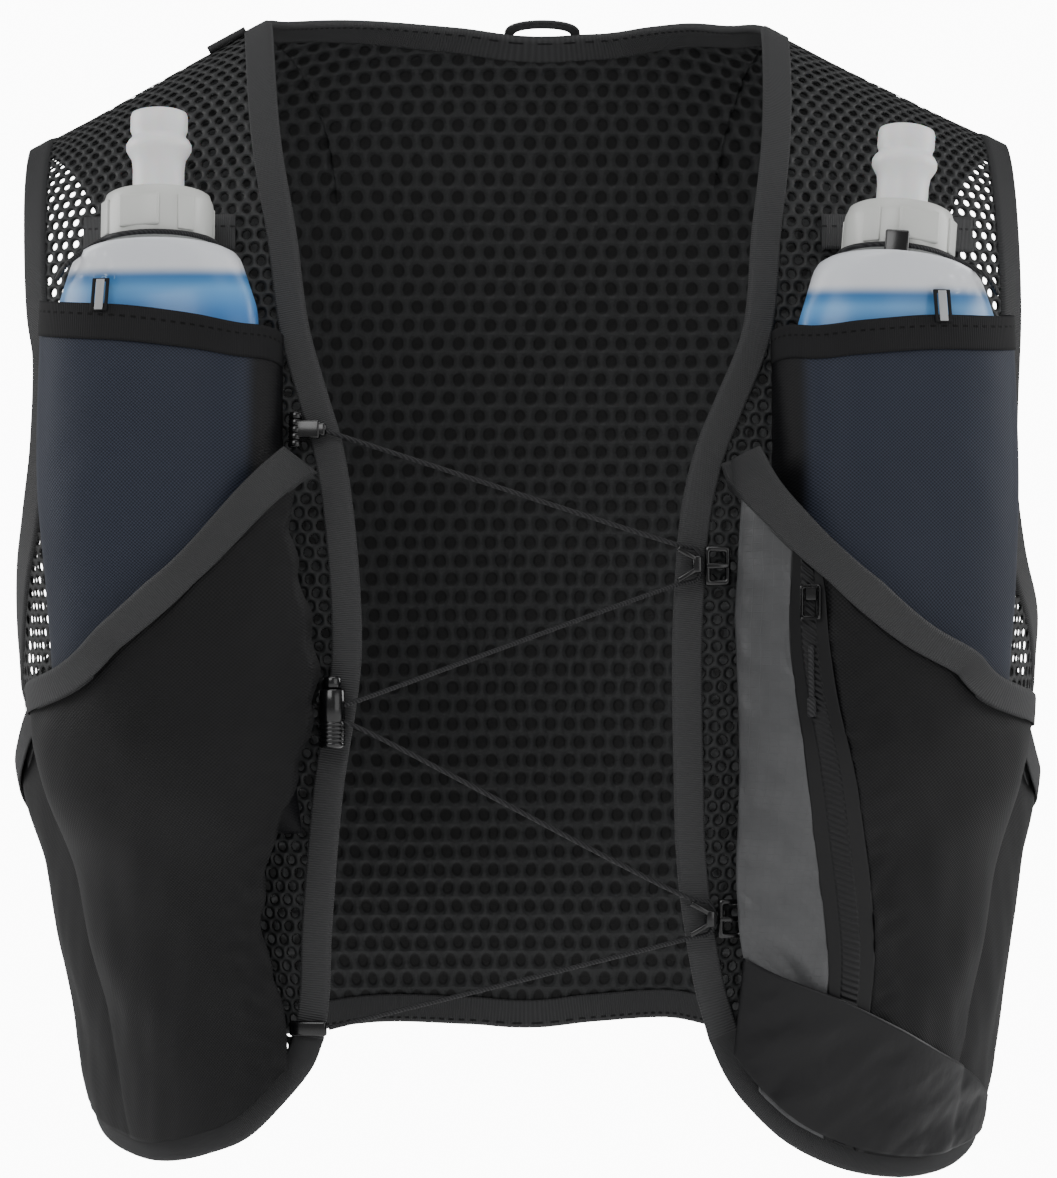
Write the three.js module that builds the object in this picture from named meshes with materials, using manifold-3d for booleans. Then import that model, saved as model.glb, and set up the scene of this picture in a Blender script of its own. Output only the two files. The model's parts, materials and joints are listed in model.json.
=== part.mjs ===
import * as THREE from "three";
import { mergeVertices } from "three/addons/utils/BufferGeometryUtils.js";
import Module from "manifold-3d";

// A running hydration vest in the form of the torso it is worn on, with two soft flasks.
// Millimetres. +Z is up, the wearer faces -Y, and the origin lies between the shoulders.
// "right" and "left" are the wearer's, so the right side has negative X.

// Overall sizes of the vest.
const VEST_HEIGHT = 446;
const HALF_WIDTH = 200;
const HALF_DEPTH = 110;
const SHOULDER_ROUNDING = 95;
const SECTION_POWER = 2.3;

// Cloth, tape and clearances.
const PANEL_WALL = 2;
const TAPE_WIDTH = 11;
const TAPE_UNDER = -0.7;
const TAPE_OVER = 2.8;
const SEAM_GAP = 0.4;
const ARMHOLE_GAP = 0.8;
const SLANT_GAP = 2.2;
const POCKET_WALL = 1;
const POCKET_BASE = 3.4;
const LOWER_BASE = 3.2;
const LOWER_CLEARANCE = 5.5;
const BAND_WALL = 1.6;
const BAND_HEIGHT = 12;

// Soft flasks.
const FLASK_HALF_WIDTH = 37;
const FLASK_HALF_THICKNESS = 18;
const FLASK_STANDOFF = 24;
const FLASK_LENGTH = 186;
const CAP_RADIUS = 21;
const CAP_HEIGHT = 22;
const VALVE_RADIUS = 10.8;
const VALVE_HEIGHT = 32;
const POCKET_INNER_SPREAD = 41.5;
const POCKET_OUTER_SPREAD = 46;
const LOWER_EXTRA_SPREAD = 16;

// Lacing and its hardware.
const LACE_RADIUS = 0.9;
const FLASK_CORD_RADIUS = 1;
const LOCK_RADIUS = 5;
const LOCK_HEIGHT = 22;
const LOCK_WALL = 1.1;
const LACE_STANDOFF = 3.4;

// Sections of the torso from the shoulders down: half widths on the two sides as shares of
// HALF_WIDTH, half depths at the front and back as shares of HALF_DEPTH.
const TORSO_SECTIONS = [
  { drop: -0.067, right: 1.015, left: 0.99, front: 0.69, back: 0.71 },
  { drop: 0.135, right: 1.015, left: 0.99, front: 0.78, back: 0.87 },
  { drop: 0.247, right: 1.015, left: 0.99, front: 0.89, back: 0.96 },
  { drop: 0.359, right: 1.01, left: 0.99, front: 0.97, back: 0.98 },
  { drop: 0.448, right: 0.985, left: 0.98, front: 1, back: 0.945 },
  { drop: 0.504, right: 0.972, left: 0.968, front: 1, back: 0.91 },
  { drop: 0.561, right: 0.965, left: 0.962, front: 0.99, back: 0.87 },
  { drop: 0.61, right: 0.957, left: 0.957, front: 0.98, back: 0.845 },
  { drop: 0.679, right: 0.918, left: 0.935, front: 0.965, back: 0.83 },
  { drop: 0.753, right: 0.895, left: 0.92, front: 0.945, back: 0.835 },
  { drop: 0.816, right: 0.86, left: 0.895, front: 0.935, back: 0.86 },
  { drop: 0.883, right: 0.835, left: 0.868, front: 0.93, back: 0.89 },
  { drop: 0.964, right: 0.79, left: 0.84, front: 0.91, back: 0.91 },
];

// The line over each shoulder, from the neck to the tip.
const RIDGE = {
  right: [
    { reach: 0, drop: -0.1 },
    { reach: 0.14, drop: -0.098 },
    { reach: 0.315, drop: -0.078 },
    { reach: 0.5, drop: -0.038 },
    { reach: 0.914, drop: 0.064 },
    { reach: 1.2, drop: 0.134 },
  ],
  left: [
    { reach: 0, drop: -0.1 },
    { reach: 0.14, drop: -0.098 },
    { reach: 0.3, drop: -0.076 },
    { reach: 0.452, drop: -0.033 },
    { reach: 0.872, drop: 0.06 },
    { reach: 1.2, drop: 0.133 },
  ],
};

// Edge of the front opening, from the neck down to the hem corner.
const FRONT_EDGE = {
  right: [
    { drop: -0.038, reach: 0.502 },
    { drop: 0.064, reach: 0.473 },
    { drop: 0.151, reach: 0.439 },
    { drop: 0.23, reach: 0.414 },
    { drop: 0.29, reach: 0.376 },
    { drop: 0.329, reach: 0.35 },
    { drop: 0.379, reach: 0.331 },
    { drop: 0.475, reach: 0.314 },
    { drop: 0.521, reach: 0.316 },
    { drop: 0.588, reach: 0.338 },
    { drop: 0.68, reach: 0.361 },
    { drop: 0.734, reach: 0.37 },
    { drop: 0.788, reach: 0.374 },
    { drop: 0.83, reach: 0.386 },
  ],
  left: [
    { drop: -0.033, reach: 0.452 },
    { drop: 0.064, reach: 0.445 },
    { drop: 0.151, reach: 0.422 },
    { drop: 0.23, reach: 0.405 },
    { drop: 0.29, reach: 0.353 },
    { drop: 0.329, reach: 0.317 },
    { drop: 0.379, reach: 0.289 },
    { drop: 0.452, reach: 0.274 },
    { drop: 0.521, reach: 0.27 },
    { drop: 0.625, reach: 0.274 },
    { drop: 0.68, reach: 0.279 },
    { drop: 0.734, reach: 0.293 },
    { drop: 0.788, reach: 0.314 },
    { drop: 0.83, reach: 0.34 },
  ],
};

// Hem of each front from its corner to the side seam: turn is the angle from the front centre.
const FRONT_HEM = {
  right: [
    { drop: 0.83, turn: 23.6 },
    { drop: 0.855, turn: 25.6 },
    { drop: 0.88, turn: 29.5 },
    { drop: 0.912, turn: 36.5 },
    { drop: 0.929, turn: 45.7 },
    { drop: 0.937, turn: 57 },
    { drop: 0.93, turn: 70 },
    { drop: 0.908, turn: 88 },
    { drop: 0.892, turn: 98 },
  ],
  left: [
    { drop: 0.83, turn: 19.2 },
    { drop: 0.862, turn: 21.9 },
    { drop: 0.888, turn: 25.4 },
    { drop: 0.916, turn: 31 },
    { drop: 0.938, turn: 39.5 },
    { drop: 0.95, turn: 52.5 },
    { drop: 0.947, turn: 65 },
    { drop: 0.928, turn: 82 },
    { drop: 0.9, turn: 98 },
  ],
};

// Hem of the back from side seam to side seam.
const BACK_HEM = [
  { turn: 98.6, drop: 0.898 },
  { turn: 114, drop: 0.872 },
  { turn: 132, drop: 0.852 },
  { turn: 155, drop: 0.845 },
  { turn: 180, drop: 0.843 },
  { turn: 205, drop: 0.843 },
  { turn: 228, drop: 0.85 },
  { turn: 246, drop: 0.866 },
  { turn: 261.4, drop: 0.89 },
];

// Edge of each armhole from the shoulder tip down the front to the side seam.
const ARMHOLE_FRONT = {
  right: [
    { drop: 0.064, reach: 0.914 },
    { drop: 0.119, reach: 0.922 },
    { drop: 0.208, reach: 0.914 },
    { drop: 0.247, reach: 0.9 },
    { drop: 0.307, reach: 0.902 },
    { drop: 0.354, reach: 0.912 },
    { drop: 0.403, reach: 0.93 },
    { drop: 0.443, reach: 0.948 },
  ],
  left: [
    { drop: 0.06, reach: 0.872 },
    { drop: 0.142, reach: 0.893 },
    { drop: 0.191, reach: 0.897 },
    { drop: 0.222, reach: 0.897 },
    { drop: 0.307, reach: 0.888 },
    { drop: 0.358, reach: 0.888 },
    { drop: 0.396, reach: 0.897 },
    { drop: 0.445, reach: 0.922 },
  ],
};
const ARMHOLE_FLOOR = [
  { drop: 0.498, turn: 80.5 },
  { drop: 0.536, turn: 88 },
  { drop: 0.551, turn: 93.5 },
  { drop: 0.555, turn: 98 },
];
const ARMHOLE_BACK = [
  { drop: 0.555, turn: 98 },
  { drop: 0.551, turn: 102.5 },
  { drop: 0.538, turn: 109 },
  { drop: 0.505, turn: 117 },
  { drop: 0.437, turn: 125 },
  { drop: 0.359, turn: 131 },
  { drop: 0.269, turn: 134 },
  { drop: 0.179, turn: 134 },
  { drop: 0.115, turn: 131 },
];

// Top edge of the back between the shoulder lines, from the right to the left.
const COLLAR_EDGE = [
  { reach: -0.5, drop: -0.038 },
  { reach: -0.458, drop: -0.041 },
  { reach: -0.315, drop: -0.046 },
  { reach: -0.167, drop: -0.043 },
  { reach: -0.048, drop: -0.037 },
  { reach: 0.027, drop: -0.035 },
  { reach: 0.127, drop: -0.037 },
  { reach: 0.237, drop: -0.042 },
  { reach: 0.346, drop: -0.042 },
  { reach: 0.39, drop: -0.039 },
  { reach: 0.452, drop: -0.033 },
];

// Top edge of each bottle pocket: across runs from the armhole side to the front opening side.
const BOTTLE_POCKET_TOP = {
  right: [
    { across: 0, drop: 0.211 },
    { across: 0.1, drop: 0.219 },
    { across: 0.25, drop: 0.2255 },
    { across: 0.5, drop: 0.2315 },
    { across: 0.75, drop: 0.2395 },
    { across: 0.9, drop: 0.2435 },
    { across: 1, drop: 0.239 },
  ],
  left: [
    { across: 0, drop: 0.222 },
    { across: 0.1, drop: 0.2305 },
    { across: 0.25, drop: 0.2355 },
    { across: 0.5, drop: 0.2385 },
    { across: 0.75, drop: 0.244 },
    { across: 0.9, drop: 0.2455 },
    { across: 1, drop: 0.237 },
  ],
};
const BOTTLE_POCKET_BELOW = 0.122;

// Upper edge of each lower pocket's slanting tape, from the front opening to the side seam.
const SLANT_EDGE = {
  right: [
    { reach: 0.454, drop: 0.341 },
    { reach: 0.522, drop: 0.369 },
    { reach: 0.661, drop: 0.431 },
    { reach: 0.79, drop: 0.475 },
    { reach: 0.885, drop: 0.513 },
    { reach: 0.94, drop: 0.546 },
    { reach: 0.975, drop: 0.585 },
  ],
  left: [
    { reach: 0.43, drop: 0.339 },
    { reach: 0.465, drop: 0.368 },
    { reach: 0.515, drop: 0.394 },
    { reach: 0.574, drop: 0.42 },
    { reach: 0.646, drop: 0.446 },
    { reach: 0.75, drop: 0.478 },
    { reach: 0.828, drop: 0.497 },
    { reach: 0.885, drop: 0.521 },
    { reach: 0.935, drop: 0.555 },
    { reach: 0.97, drop: 0.595 },
  ],
};
const SLANT_END = { turn: 97.5, drop: 0.618 };

// Gathered inner edge of the right lower pocket and inner edge of the left one's ripstop.
const LOWER_INNER_EDGE = {
  right: [
    { drop: 0.379, reach: 0.436 },
    { drop: 0.41, reach: 0.442 },
    { drop: 0.445, reach: 0.424 },
    { drop: 0.475, reach: 0.41 },
    { drop: 0.51, reach: 0.396 },
    { drop: 0.56, reach: 0.408 },
    { drop: 0.623, reach: 0.445 },
    { drop: 0.664, reach: 0.479 },
    { drop: 0.734, reach: 0.496 },
    { drop: 0.78, reach: 0.469 },
    { drop: 0.81, reach: 0.462 },
  ],
  left: [
    { drop: 0.395, reach: 0.4 },
    { drop: 0.43, reach: 0.393 },
    { drop: 0.47, reach: 0.388 },
    { drop: 0.507, reach: 0.39 },
    { drop: 0.555, reach: 0.393 },
    { drop: 0.634, reach: 0.393 },
    { drop: 0.703, reach: 0.39 },
    { drop: 0.751, reach: 0.399 },
    { drop: 0.79, reach: 0.42 },
    { drop: 0.83, reach: 0.445 },
  ],
};

// Seams of the left lower pocket: ripstop against zip, then zip against pocket.
const RIPSTOP_SEAM = [
  { drop: 0.43, reach: 0.49 },
  { drop: 0.479, reach: 0.485 },
  { drop: 0.544, reach: 0.5 },
  { drop: 0.613, reach: 0.521 },
  { drop: 0.703, reach: 0.547 },
  { drop: 0.76, reach: 0.56 },
  { drop: 0.83, reach: 0.585 },
];
const ZIP_SEAM = [
  { drop: 0.45, reach: 0.545 },
  { drop: 0.5, reach: 0.56 },
  { drop: 0.56, reach: 0.585 },
  { drop: 0.62, reach: 0.615 },
  { drop: 0.69, reach: 0.638 },
  { drop: 0.77, reach: 0.648 },
  { drop: 0.83, reach: 0.65 },
];
const OVERLAY_EDGE = [
  { reach: 0.4, drop: 0.758 },
  { reach: 0.469, drop: 0.773 },
  { reach: 0.568, drop: 0.79 },
  { reach: 0.69, drop: 0.817 },
  { reach: 0.773, drop: 0.84 },
  { reach: 0.835, drop: 0.862 },
  { reach: 0.872, drop: 0.884 },
];

// How far a filled bottle pocket and the lower pocket over it swell, from the top down: below is
// the distance below the flask's foot as a share of FLASK_LENGTH.
const BOTTLE_SWELL = [
  { below: -1.02, share: 1 },
  { below: -0.093, share: 1 },
  { below: 0.009, share: 0.78 },
  { below: 0.088, share: 0.3 },
  { below: 0.133, share: 0 },
];
const LOWER_SWELL = [
  { below: -0.68, share: 1.02 },
  { below: -0.093, share: 1.02 },
  { below: 0.009, share: 0.9 },
  { below: 0.156, share: 0.62 },
  { below: 0.36, share: 0.36 },
  { below: 0.586, share: 0.16 },
  { below: 0.813, share: 0.06 },
];

// Sections of a flask from its foot to its neck, as shares of its length and half sizes.
const FLASK_SECTIONS = [
  { rise: 0, width: 0.78, thickness: 0.1 },
  { rise: 0.02, width: 0.9, thickness: 0.38 },
  { rise: 0.07, width: 0.98, thickness: 0.74 },
  { rise: 0.16, width: 1, thickness: 0.95 },
  { rise: 0.45, width: 1, thickness: 1 },
  { rise: 0.75, width: 1, thickness: 1 },
  { rise: 0.875, width: 0.99, thickness: 1 },
  { rise: 0.935, width: 0.88, thickness: 1.02 },
  { rise: 0.975, width: 0.77, thickness: 1.04 },
  { rise: 1, width: 0.55, thickness: 1 },
];
const MEAN_NECK_DROP = 0.1842;
const FLASK_PLACE = {
  right: { reach: 0.7, neckDrop: 0.178, lean: 0 },
  left: { reach: 0.698, neckDrop: 0.191, lean: 5 },
};

// Outline of a cap and of its bite valve: radius and height as shares of their own sizes.
const CAP_PROFILE = [
  { radius: 0.92, height: 0 },
  { radius: 1, height: 0.16 },
  { radius: 1, height: 0.74 },
  { radius: 0.95, height: 0.92 },
  { radius: 0.84, height: 1 },
];
const VALVE_PROFILE = [
  { radius: 0.98, height: 0 },
  { radius: 0.9, height: 0.3 },
  { radius: 0.94, height: 0.42 },
  { radius: 1.14, height: 0.52 },
  { radius: 1.14, height: 0.6 },
  { radius: 0.96, height: 0.68 },
  { radius: 1, height: 0.94 },
  { radius: 0.9, height: 1 },
];

// Colours of the cloths and plastics.
const MATERIALS = {
  mesh: { color: 0x17181a, roughness: 0.9, metalness: 0 },
  backMesh: { color: 0x141516, roughness: 0.9, metalness: 0 },
  tape: { color: 0x1d1e20, roughness: 0.85, metalness: 0 },
  stretch: { color: 0x1b2130, roughness: 0.75, metalness: 0 },
  pocket: { color: 0x191a1c, roughness: 0.75, metalness: 0 },
  ripstop: { color: 0x3c3d40, roughness: 0.6, metalness: 0 },
  nylon: { color: 0x1e1f22, roughness: 0.45, metalness: 0 },
  reflective: { color: 0xb9bbbd, roughness: 0.5, metalness: 0.1 },
  film: { color: 0x6fa8d6, roughness: 0.2, metalness: 0 },
  cap: { color: 0xc9c7c0, roughness: 0.45, metalness: 0 },
  valve: { color: 0xe4e4e2, roughness: 0.4, metalness: 0 },
  cord: { color: 0x252628, roughness: 0.8, metalness: 0 },
  hardware: { color: 0x151517, roughness: 0.25, metalness: 0 },
};

// Densities of the grids.
const NET_GAPS = 4;
const BODY_ROWS = 12;
const SIDE_SEAM_ROWS = 5;
const BACK_ROWS = 15;
const COLLAR_COLUMNS = 10;
const STRAP_COLUMNS = 4;

// Net over each shoulder: where it starts below the shoulder line, its run, and its bars' share.
const NET_START = 8;
const NET_RUN = 62;
const NET_BAR_SHARE = 0.44;

// The side seams, with a narrow gap between the front's and the back's edges.
const SEAM_TURN = 98;
const SEAM_TURN_GAP = 0.5;
const RIDGE_GAP = 0.2;
const BOTTLE_COLUMNS = 10;
const BOTTLE_ROWS = [0, 0.07, 0.15, 0.24, 0.4, 0.6, 0.8, 1];
const LOWER_COLUMNS = 11;
const LOWER_ROWS = 9;
const FLASK_SIDES = 14;
const TURN = 2 * Math.PI;
const STEP = 0.4;

// Where the lengths of cloth round the chest are measured, and how far round.
const ARC_HEIGHT = -160;
const ARC_DEGREES = 110;

// Seams of the lower pocket and the overlay's rise over it.
const SEAM_DEGREES = 0.25;
const OVERLAY_RISE = 2.35;
const OVERLAY_WALL = 0.8;
const OVERLAY_HEM_GAP = 1;
const TRIM_MARGIN = 6;

// Cord round each cap: its height over the cap's foot, its turns (0 is the viewer's right), and
// where it comes out of the pocket: across from the flask's middle, under the hem, off the form.
const CORD_HEIGHT = 2.4;
const CORD_CLEARANCE = 0.4;
const CORD_TURNS = {
  right: { from: 135, to: -150 },
  left: { from: 45, to: 330 },
};
const CORD_LOW = { across: 31, under: -3.5, off: 12.5 };
const CORD_MIDDLE = { across: 24, under: -8, off: 19 };
const TOGGLE = { turn: 112, width: 9, height: 10, depth: 4.4, clearance: 0.8, shift: 1 };

// Strap on the shoulder mesh behind each cap, and the loop of tape on each pocket's hem.
const STRAP = { from: 0.55, to: 0.84, topDrop: 0.135, footDrop: 0.165, rise: 0.3, wall: 0.8 };
const LOOP = { width: 6.6, height: 12, tape: 1.6, wall: 1, rise: 0.4, sunk: 3 };
const LOOP_ACROSS = { right: 0.39, left: 0.44 };

// Hardware of the lacing: every place is a reach and a drop of the front view.
const HOOK = { reach: 0.412, drop: 0.319 };
const GUIDES = {
  upper: { reach: 0.3, drop: 0.431 },
  lower: { reach: 0.324, drop: 0.726 },
};
const BUCKLES = {
  upper: { reach: 0.352, drop: 0.432 },
  lower: { reach: 0.377, drop: 0.727 },
};
const LOCK = { reach: 0.3625, drop: 0.559 };
const ANCHOR = { reach: 0.411, drop: 0.82 };
const HOOK_BARREL = { radius: 2.6, height: 13.3, x: -4.6, z: 2.9 };
const HOOK_BLOCK = { width: 11, height: 7.2, depth: 4, x: 1.2, z: 3.2 };
const GUIDE_CORNERS = [
  { x: -4.4, y: 6.4 },
  { x: -4.4, y: 4.6 },
  { x: 1.2, y: 0.5 },
  { x: 1.2, y: -0.5 },
  { x: -4.4, y: -4.6 },
  { x: -4.4, y: -6.4 },
  { x: 4, y: -2.6 },
  { x: 4, y: 2.6 },
];
const GUIDE = { wall: 1.6, z: 5.2, postRadius: 1.1, postLength: 5.2, postX: 2, postZ: 3.1 };
const GUIDE_ROUTE = [
  { x: -5, y: 7.5 },
  { x: 2.5, y: 5.5 },
  { x: 4.3, y: 0 },
  { x: 2.5, y: -5.5 },
  { x: -5, y: -7.5 },
];
const BUCKLE = { width: 9.6, height: 14.8, holeWidth: 4.6, holeHeight: 8.4, wall: 3, z: 0.4 };
const ANCHOR_BLOCK = { width: 14.4, height: 5.7, depth: 3, z: 2 };

// Cord lock: heights are from the barrel's middle, and its cord passes beside it.
const LOCK_SIZES = { bore: 4.4, stem: 1.4, head: 5, clearance: 0.3, hole: 1.8, gap: 0.7 };
const LOCK_HOLES = { first: 5, second: -1.4 };
const LOCK_ROUTE = { away: 9, near: 4, far: -6.2, turn: -9, spread: 1.5, out: 0.5 };

// Zip slider and its cord pull.
const SLIDER = { reach: 0.525, drop: 0.46 };
const PULL = { reach: 0.526, drop: 0.523 };
const SLIDER_SIZES = { width: 8, height: 13, holeWidth: 4, holeHeight: 8, wall: 2.4, rise: 0.5 };
const PULL_SIZES = { width: 3.4, height: 27, wall: 2, rise: 0.4 };

// Hanger loop over the collar and the tab on the right shoulder.
const HANGER = { halfSpan: 15, height: 8.5, tape: 3.6, wall: 1.4, reach: 0.027, drop: -0.035, sunk: 2 };
const TAB = { from: 0.54, to: 0.61, run: 15, rise: 0.5, wall: 1.6 };

const vest = new THREE.Group();
const wasm = await Module();
wasm.setup();

function lerp(from, to, share) {
  return from + (to - from) * share;
}

// Value of a column at a place along a table, with smooth joins between the rows.
function read(rows, key, at, column) {
  const last = rows.length - 1;
  if (at <= rows[0][key]) return rows[0][column];
  if (at >= rows[last][key]) return rows[last][column];
  let row = 0;
  while (rows[row + 1][key] < at) row += 1;
  const span = rows[row + 1][key] - rows[row][key];
  const share = (at - rows[row][key]) / span;
  const start = slope(rows, key, row, column) * span;
  const end = slope(rows, key, row + 1, column) * span;
  return hermite(rows[row][column], rows[row + 1][column], start, end, share);
}

function slope(rows, key, row, column) {
  const before = rows[Math.max(row - 1, 0)];
  const after = rows[Math.min(row + 1, rows.length - 1)];
  return (after[column] - before[column]) / (after[key] - before[key]);
}

function hermite(from, to, start, end, share) {
  const squared = share * share;
  const cubed = squared * share;
  const away = (cubed - 2 * squared + share) * start + (cubed - squared) * end;
  return (2 * cubed - 3 * squared + 1) * from + (3 * squared - 2 * cubed) * to + away;
}

function readStraight(rows, key, at, column) {
  let row = 0;
  while (row < rows.length - 2 && rows[row + 1][key] < at) row += 1;
  const share = (at - rows[row][key]) / (rows[row + 1][key] - rows[row][key]);
  return lerp(rows[row][column], rows[row + 1][column], share);
}

// A girth of 0 is the front centre, 90 the left side, 180 the back centre, 270 the right side.
function sideOf(girth) {
  return girth > 180 ? "right" : "left";
}

function signOf(side) {
  return side === "right" ? -1 : 1;
}

function girthOf(side, turn) {
  return side === "right" ? 360 - turn : turn;
}

function turnOf(girth) {
  return girth > 180 ? 360 - girth : girth;
}

function powered(value) {
  return Math.sign(value) * Math.abs(value) ** (2 / SECTION_POWER);
}

function halfWidthAt(side, height) {
  return HALF_WIDTH * read(TORSO_SECTIONS, "drop", -height / VEST_HEIGHT, side);
}

// Point of the torso without the rounding of the shoulders, at a girth and a height.
function chestPoint(girth, fall) {
  const side = sideOf(girth);
  const turn = THREE.MathUtils.degToRad(turnOf(girth));
  const forward = powered(Math.cos(turn));
  const column = forward > 0 ? "front" : "back";
  const depth = HALF_DEPTH * read(TORSO_SECTIONS, "drop", fall / VEST_HEIGHT, column);
  const across = signOf(side) * halfWidthAt(side, -fall) * powered(Math.sin(turn));
  return new THREE.Vector3(across, -depth * forward, -fall);
}

function ridgeHeight(girth) {
  const side = sideOf(girth);
  const across = halfWidthAt(side, 0) * powered(Math.sin(THREE.MathUtils.degToRad(turnOf(girth))));
  return -VEST_HEIGHT * read(RIDGE[side], "reach", across / HALF_WIDTH, "drop");
}

// Point of the torso at a girth and a run of cloth measured down from the shoulder line.
function torsoPoint(girth, run) {
  const ridge = ridgeHeight(girth);
  const arc = Math.min(run / SHOULDER_ROUNDING, Math.PI / 2);
  const straight = run - arc * SHOULDER_ROUNDING;
  const height = ridge - SHOULDER_ROUNDING * (1 - Math.cos(arc)) - straight;
  const point = chestPoint(girth, -height);
  point.y *= Math.sin(arc);
  return point;
}

function runAt(girth, height) {
  const depth = ridgeHeight(girth) - height;
  if (depth <= 0) return 0;
  if (depth < SHOULDER_ROUNDING) return SHOULDER_ROUNDING * Math.acos(1 - depth / SHOULDER_ROUNDING);
  return SHOULDER_ROUNDING * (Math.PI / 2 - 1) + depth;
}

// The two forms that cloth lies on: spots are a girth and a distance down the form.
const torso = { point: torsoPoint, downAt: runAt };
const chest = { point: chestPoint, downAt: (girth, height) => -height };

function alongGirth(form, spot) {
  const after = form.point(spot.girth + STEP, spot.down);
  return after.sub(form.point(spot.girth - STEP, spot.down)).multiplyScalar(0.5 / STEP);
}

function alongDown(form, spot) {
  const above = form.point(spot.girth, Math.max(spot.down - STEP, form === torso ? 0.01 : -Infinity));
  const below = form.point(spot.girth, spot.down + STEP);
  return below.sub(above).normalize();
}

function outward(form, spot) {
  return alongDown(form, spot).cross(alongGirth(form, spot)).normalize();
}

function skin(form, spot, offset) {
  return form.point(spot.girth, spot.down).addScaledVector(outward(form, spot), offset);
}

// Spot reached from another one by going a distance along the cloth in a direction.
function slide(form, spot, direction, distance) {
  const across = alongGirth(form, spot);
  const down = alongDown(form, spot);
  const aa = across.dot(across);
  const ad = across.dot(down);
  const wantA = across.dot(direction) * distance;
  const wantD = down.dot(direction) * distance;
  const det = aa - ad * ad;
  return {
    girth: spot.girth + (wantA - ad * wantD) / det,
    down: Math.max(spot.down + (aa * wantD - ad * wantA) / det, form === torso ? 0 : -Infinity),
  };
}

// Spot whose place in the front view, at an offset from the form, is a reach and a drop.
function aim(form, side, row, offsetAt, behind = false) {
  const height = -row.drop * VEST_HEIGHT;
  const target = row.reach * HALF_WIDTH;
  let across = target;
  let spot = null;
  for (let pass = 0; pass < 6; pass += 1) {
    const share = Math.min(Math.max(across, 0.01) / halfWidthAt(side, height), 1);
    const turn = THREE.MathUtils.radToDeg(Math.asin(share ** (SECTION_POWER / 2)));
    const girth = girthOf(side, behind ? 180 - turn : turn);
    spot = { girth, down: form.downAt(girth, height) };
    if (!offsetAt) break;
    const shown = Math.abs(skin(form, spot, offsetAt(spot)).x);
    across += target - shown;
  }
  return spot;
}

function spotAt(form, side, row) {
  const girth = girthOf(side, row.turn);
  return { girth, down: form.downAt(girth, -row.drop * VEST_HEIGHT) };
}

// Evenly spaced spots along a smooth path through given ones, ends included.
function resample(spots, shares) {
  const knots = spots.map((spot) => new THREE.Vector3(spot.girth, spot.down, 0));
  const curve = new THREE.CatmullRomCurve3(knots, false, "centripetal");
  curve.arcLengthDivisions = 400;
  return shares.map((share) => {
    const knot = curve.getPointAt(share);
    return { girth: knot.x, down: knot.y };
  });
}

function evenShares(count) {
  return Array.from({ length: count + 1 }, (item, index) => index / count);
}

// Line beside a path at a distance along the cloth; the sign picks the side.
function beside(form, path, distance) {
  return path.map((spot, index) => {
    const before = path[Math.max(index - 1, 0)];
    const after = path[Math.min(index + 1, path.length - 1)];
    const along = form.point(after.girth, after.down).sub(form.point(before.girth, before.down));
    const direction = outward(form, spot).cross(along).normalize();
    return slide(form, spot, direction, distance);
  });
}

// Grid of spots between four edges that share their corners.
function patch(rightEdge, leftEdge, bottom, top, sharesUp, sharesAcross) {
  return sharesAcross.map((across, column) => sharesUp.map((up, row) => {
    const spot = {};
    for (const key of ["girth", "down"]) {
      const sides = lerp(rightEdge[row][key], leftEdge[row][key], across);
      const ends = lerp(bottom[column][key], top[column][key], up);
      const low = lerp(rightEdge[0][key], leftEdge[0][key], across);
      const high = lerp(rightEdge.at(-1)[key], leftEdge.at(-1)[key], across);
      spot[key] = sides + ends - lerp(low, high, up);
    }
    return spot;
  }));
}

class Surface {
  constructor() {
    this.corners = [];
  }

  triangle(a, b, c) {
    this.corners.push(a, b, c);
  }

  quad(a, b, c, d) {
    this.triangle(a, b, c);
    this.triangle(a, c, d);
  }

  // Geometry whose faces look outwards, whichever way round they were laid.
  geometry() {
    let volume = 0;
    for (let index = 0; index < this.corners.length; index += 3) {
      const [a, b, c] = this.corners.slice(index, index + 3);
      volume += a.dot(new THREE.Vector3().crossVectors(b, c));
    }
    if (volume < 0) this.corners.reverse();
    const geometry = new THREE.BufferGeometry().setFromPoints(this.corners);
    geometry.computeVertexNormals();
    return geometry;
  }
}

// Closed sheet between an inner and an outer grid of points, with some cells left open.
function sheet(inner, outer, isOpen = () => false) {
  const surface = new Surface();
  const columns = inner.length - 1;
  const rows = inner[0].length - 1;
  const missing = (i, j) => i < 0 || j < 0 || i >= columns || j >= rows || isOpen(i, j);
  const wall = (i0, j0, i1, j1) => {
    surface.quad(inner[i0][j0], inner[i1][j1], outer[i1][j1], outer[i0][j0]);
  };
  for (let i = 0; i < columns; i += 1) {
    for (let j = 0; j < rows; j += 1) {
      if (isOpen(i, j)) continue;
      surface.quad(outer[i][j], outer[i + 1][j], outer[i + 1][j + 1], outer[i][j + 1]);
      surface.quad(inner[i][j + 1], inner[i + 1][j + 1], inner[i + 1][j], inner[i][j]);
      if (missing(i, j - 1)) wall(i, j, i + 1, j);
      if (missing(i, j + 1)) wall(i + 1, j + 1, i, j + 1);
      if (missing(i - 1, j)) wall(i, j + 1, i, j);
      if (missing(i + 1, j)) wall(i + 1, j, i + 1, j + 1);
    }
  }
  return surface.geometry();
}

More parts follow.
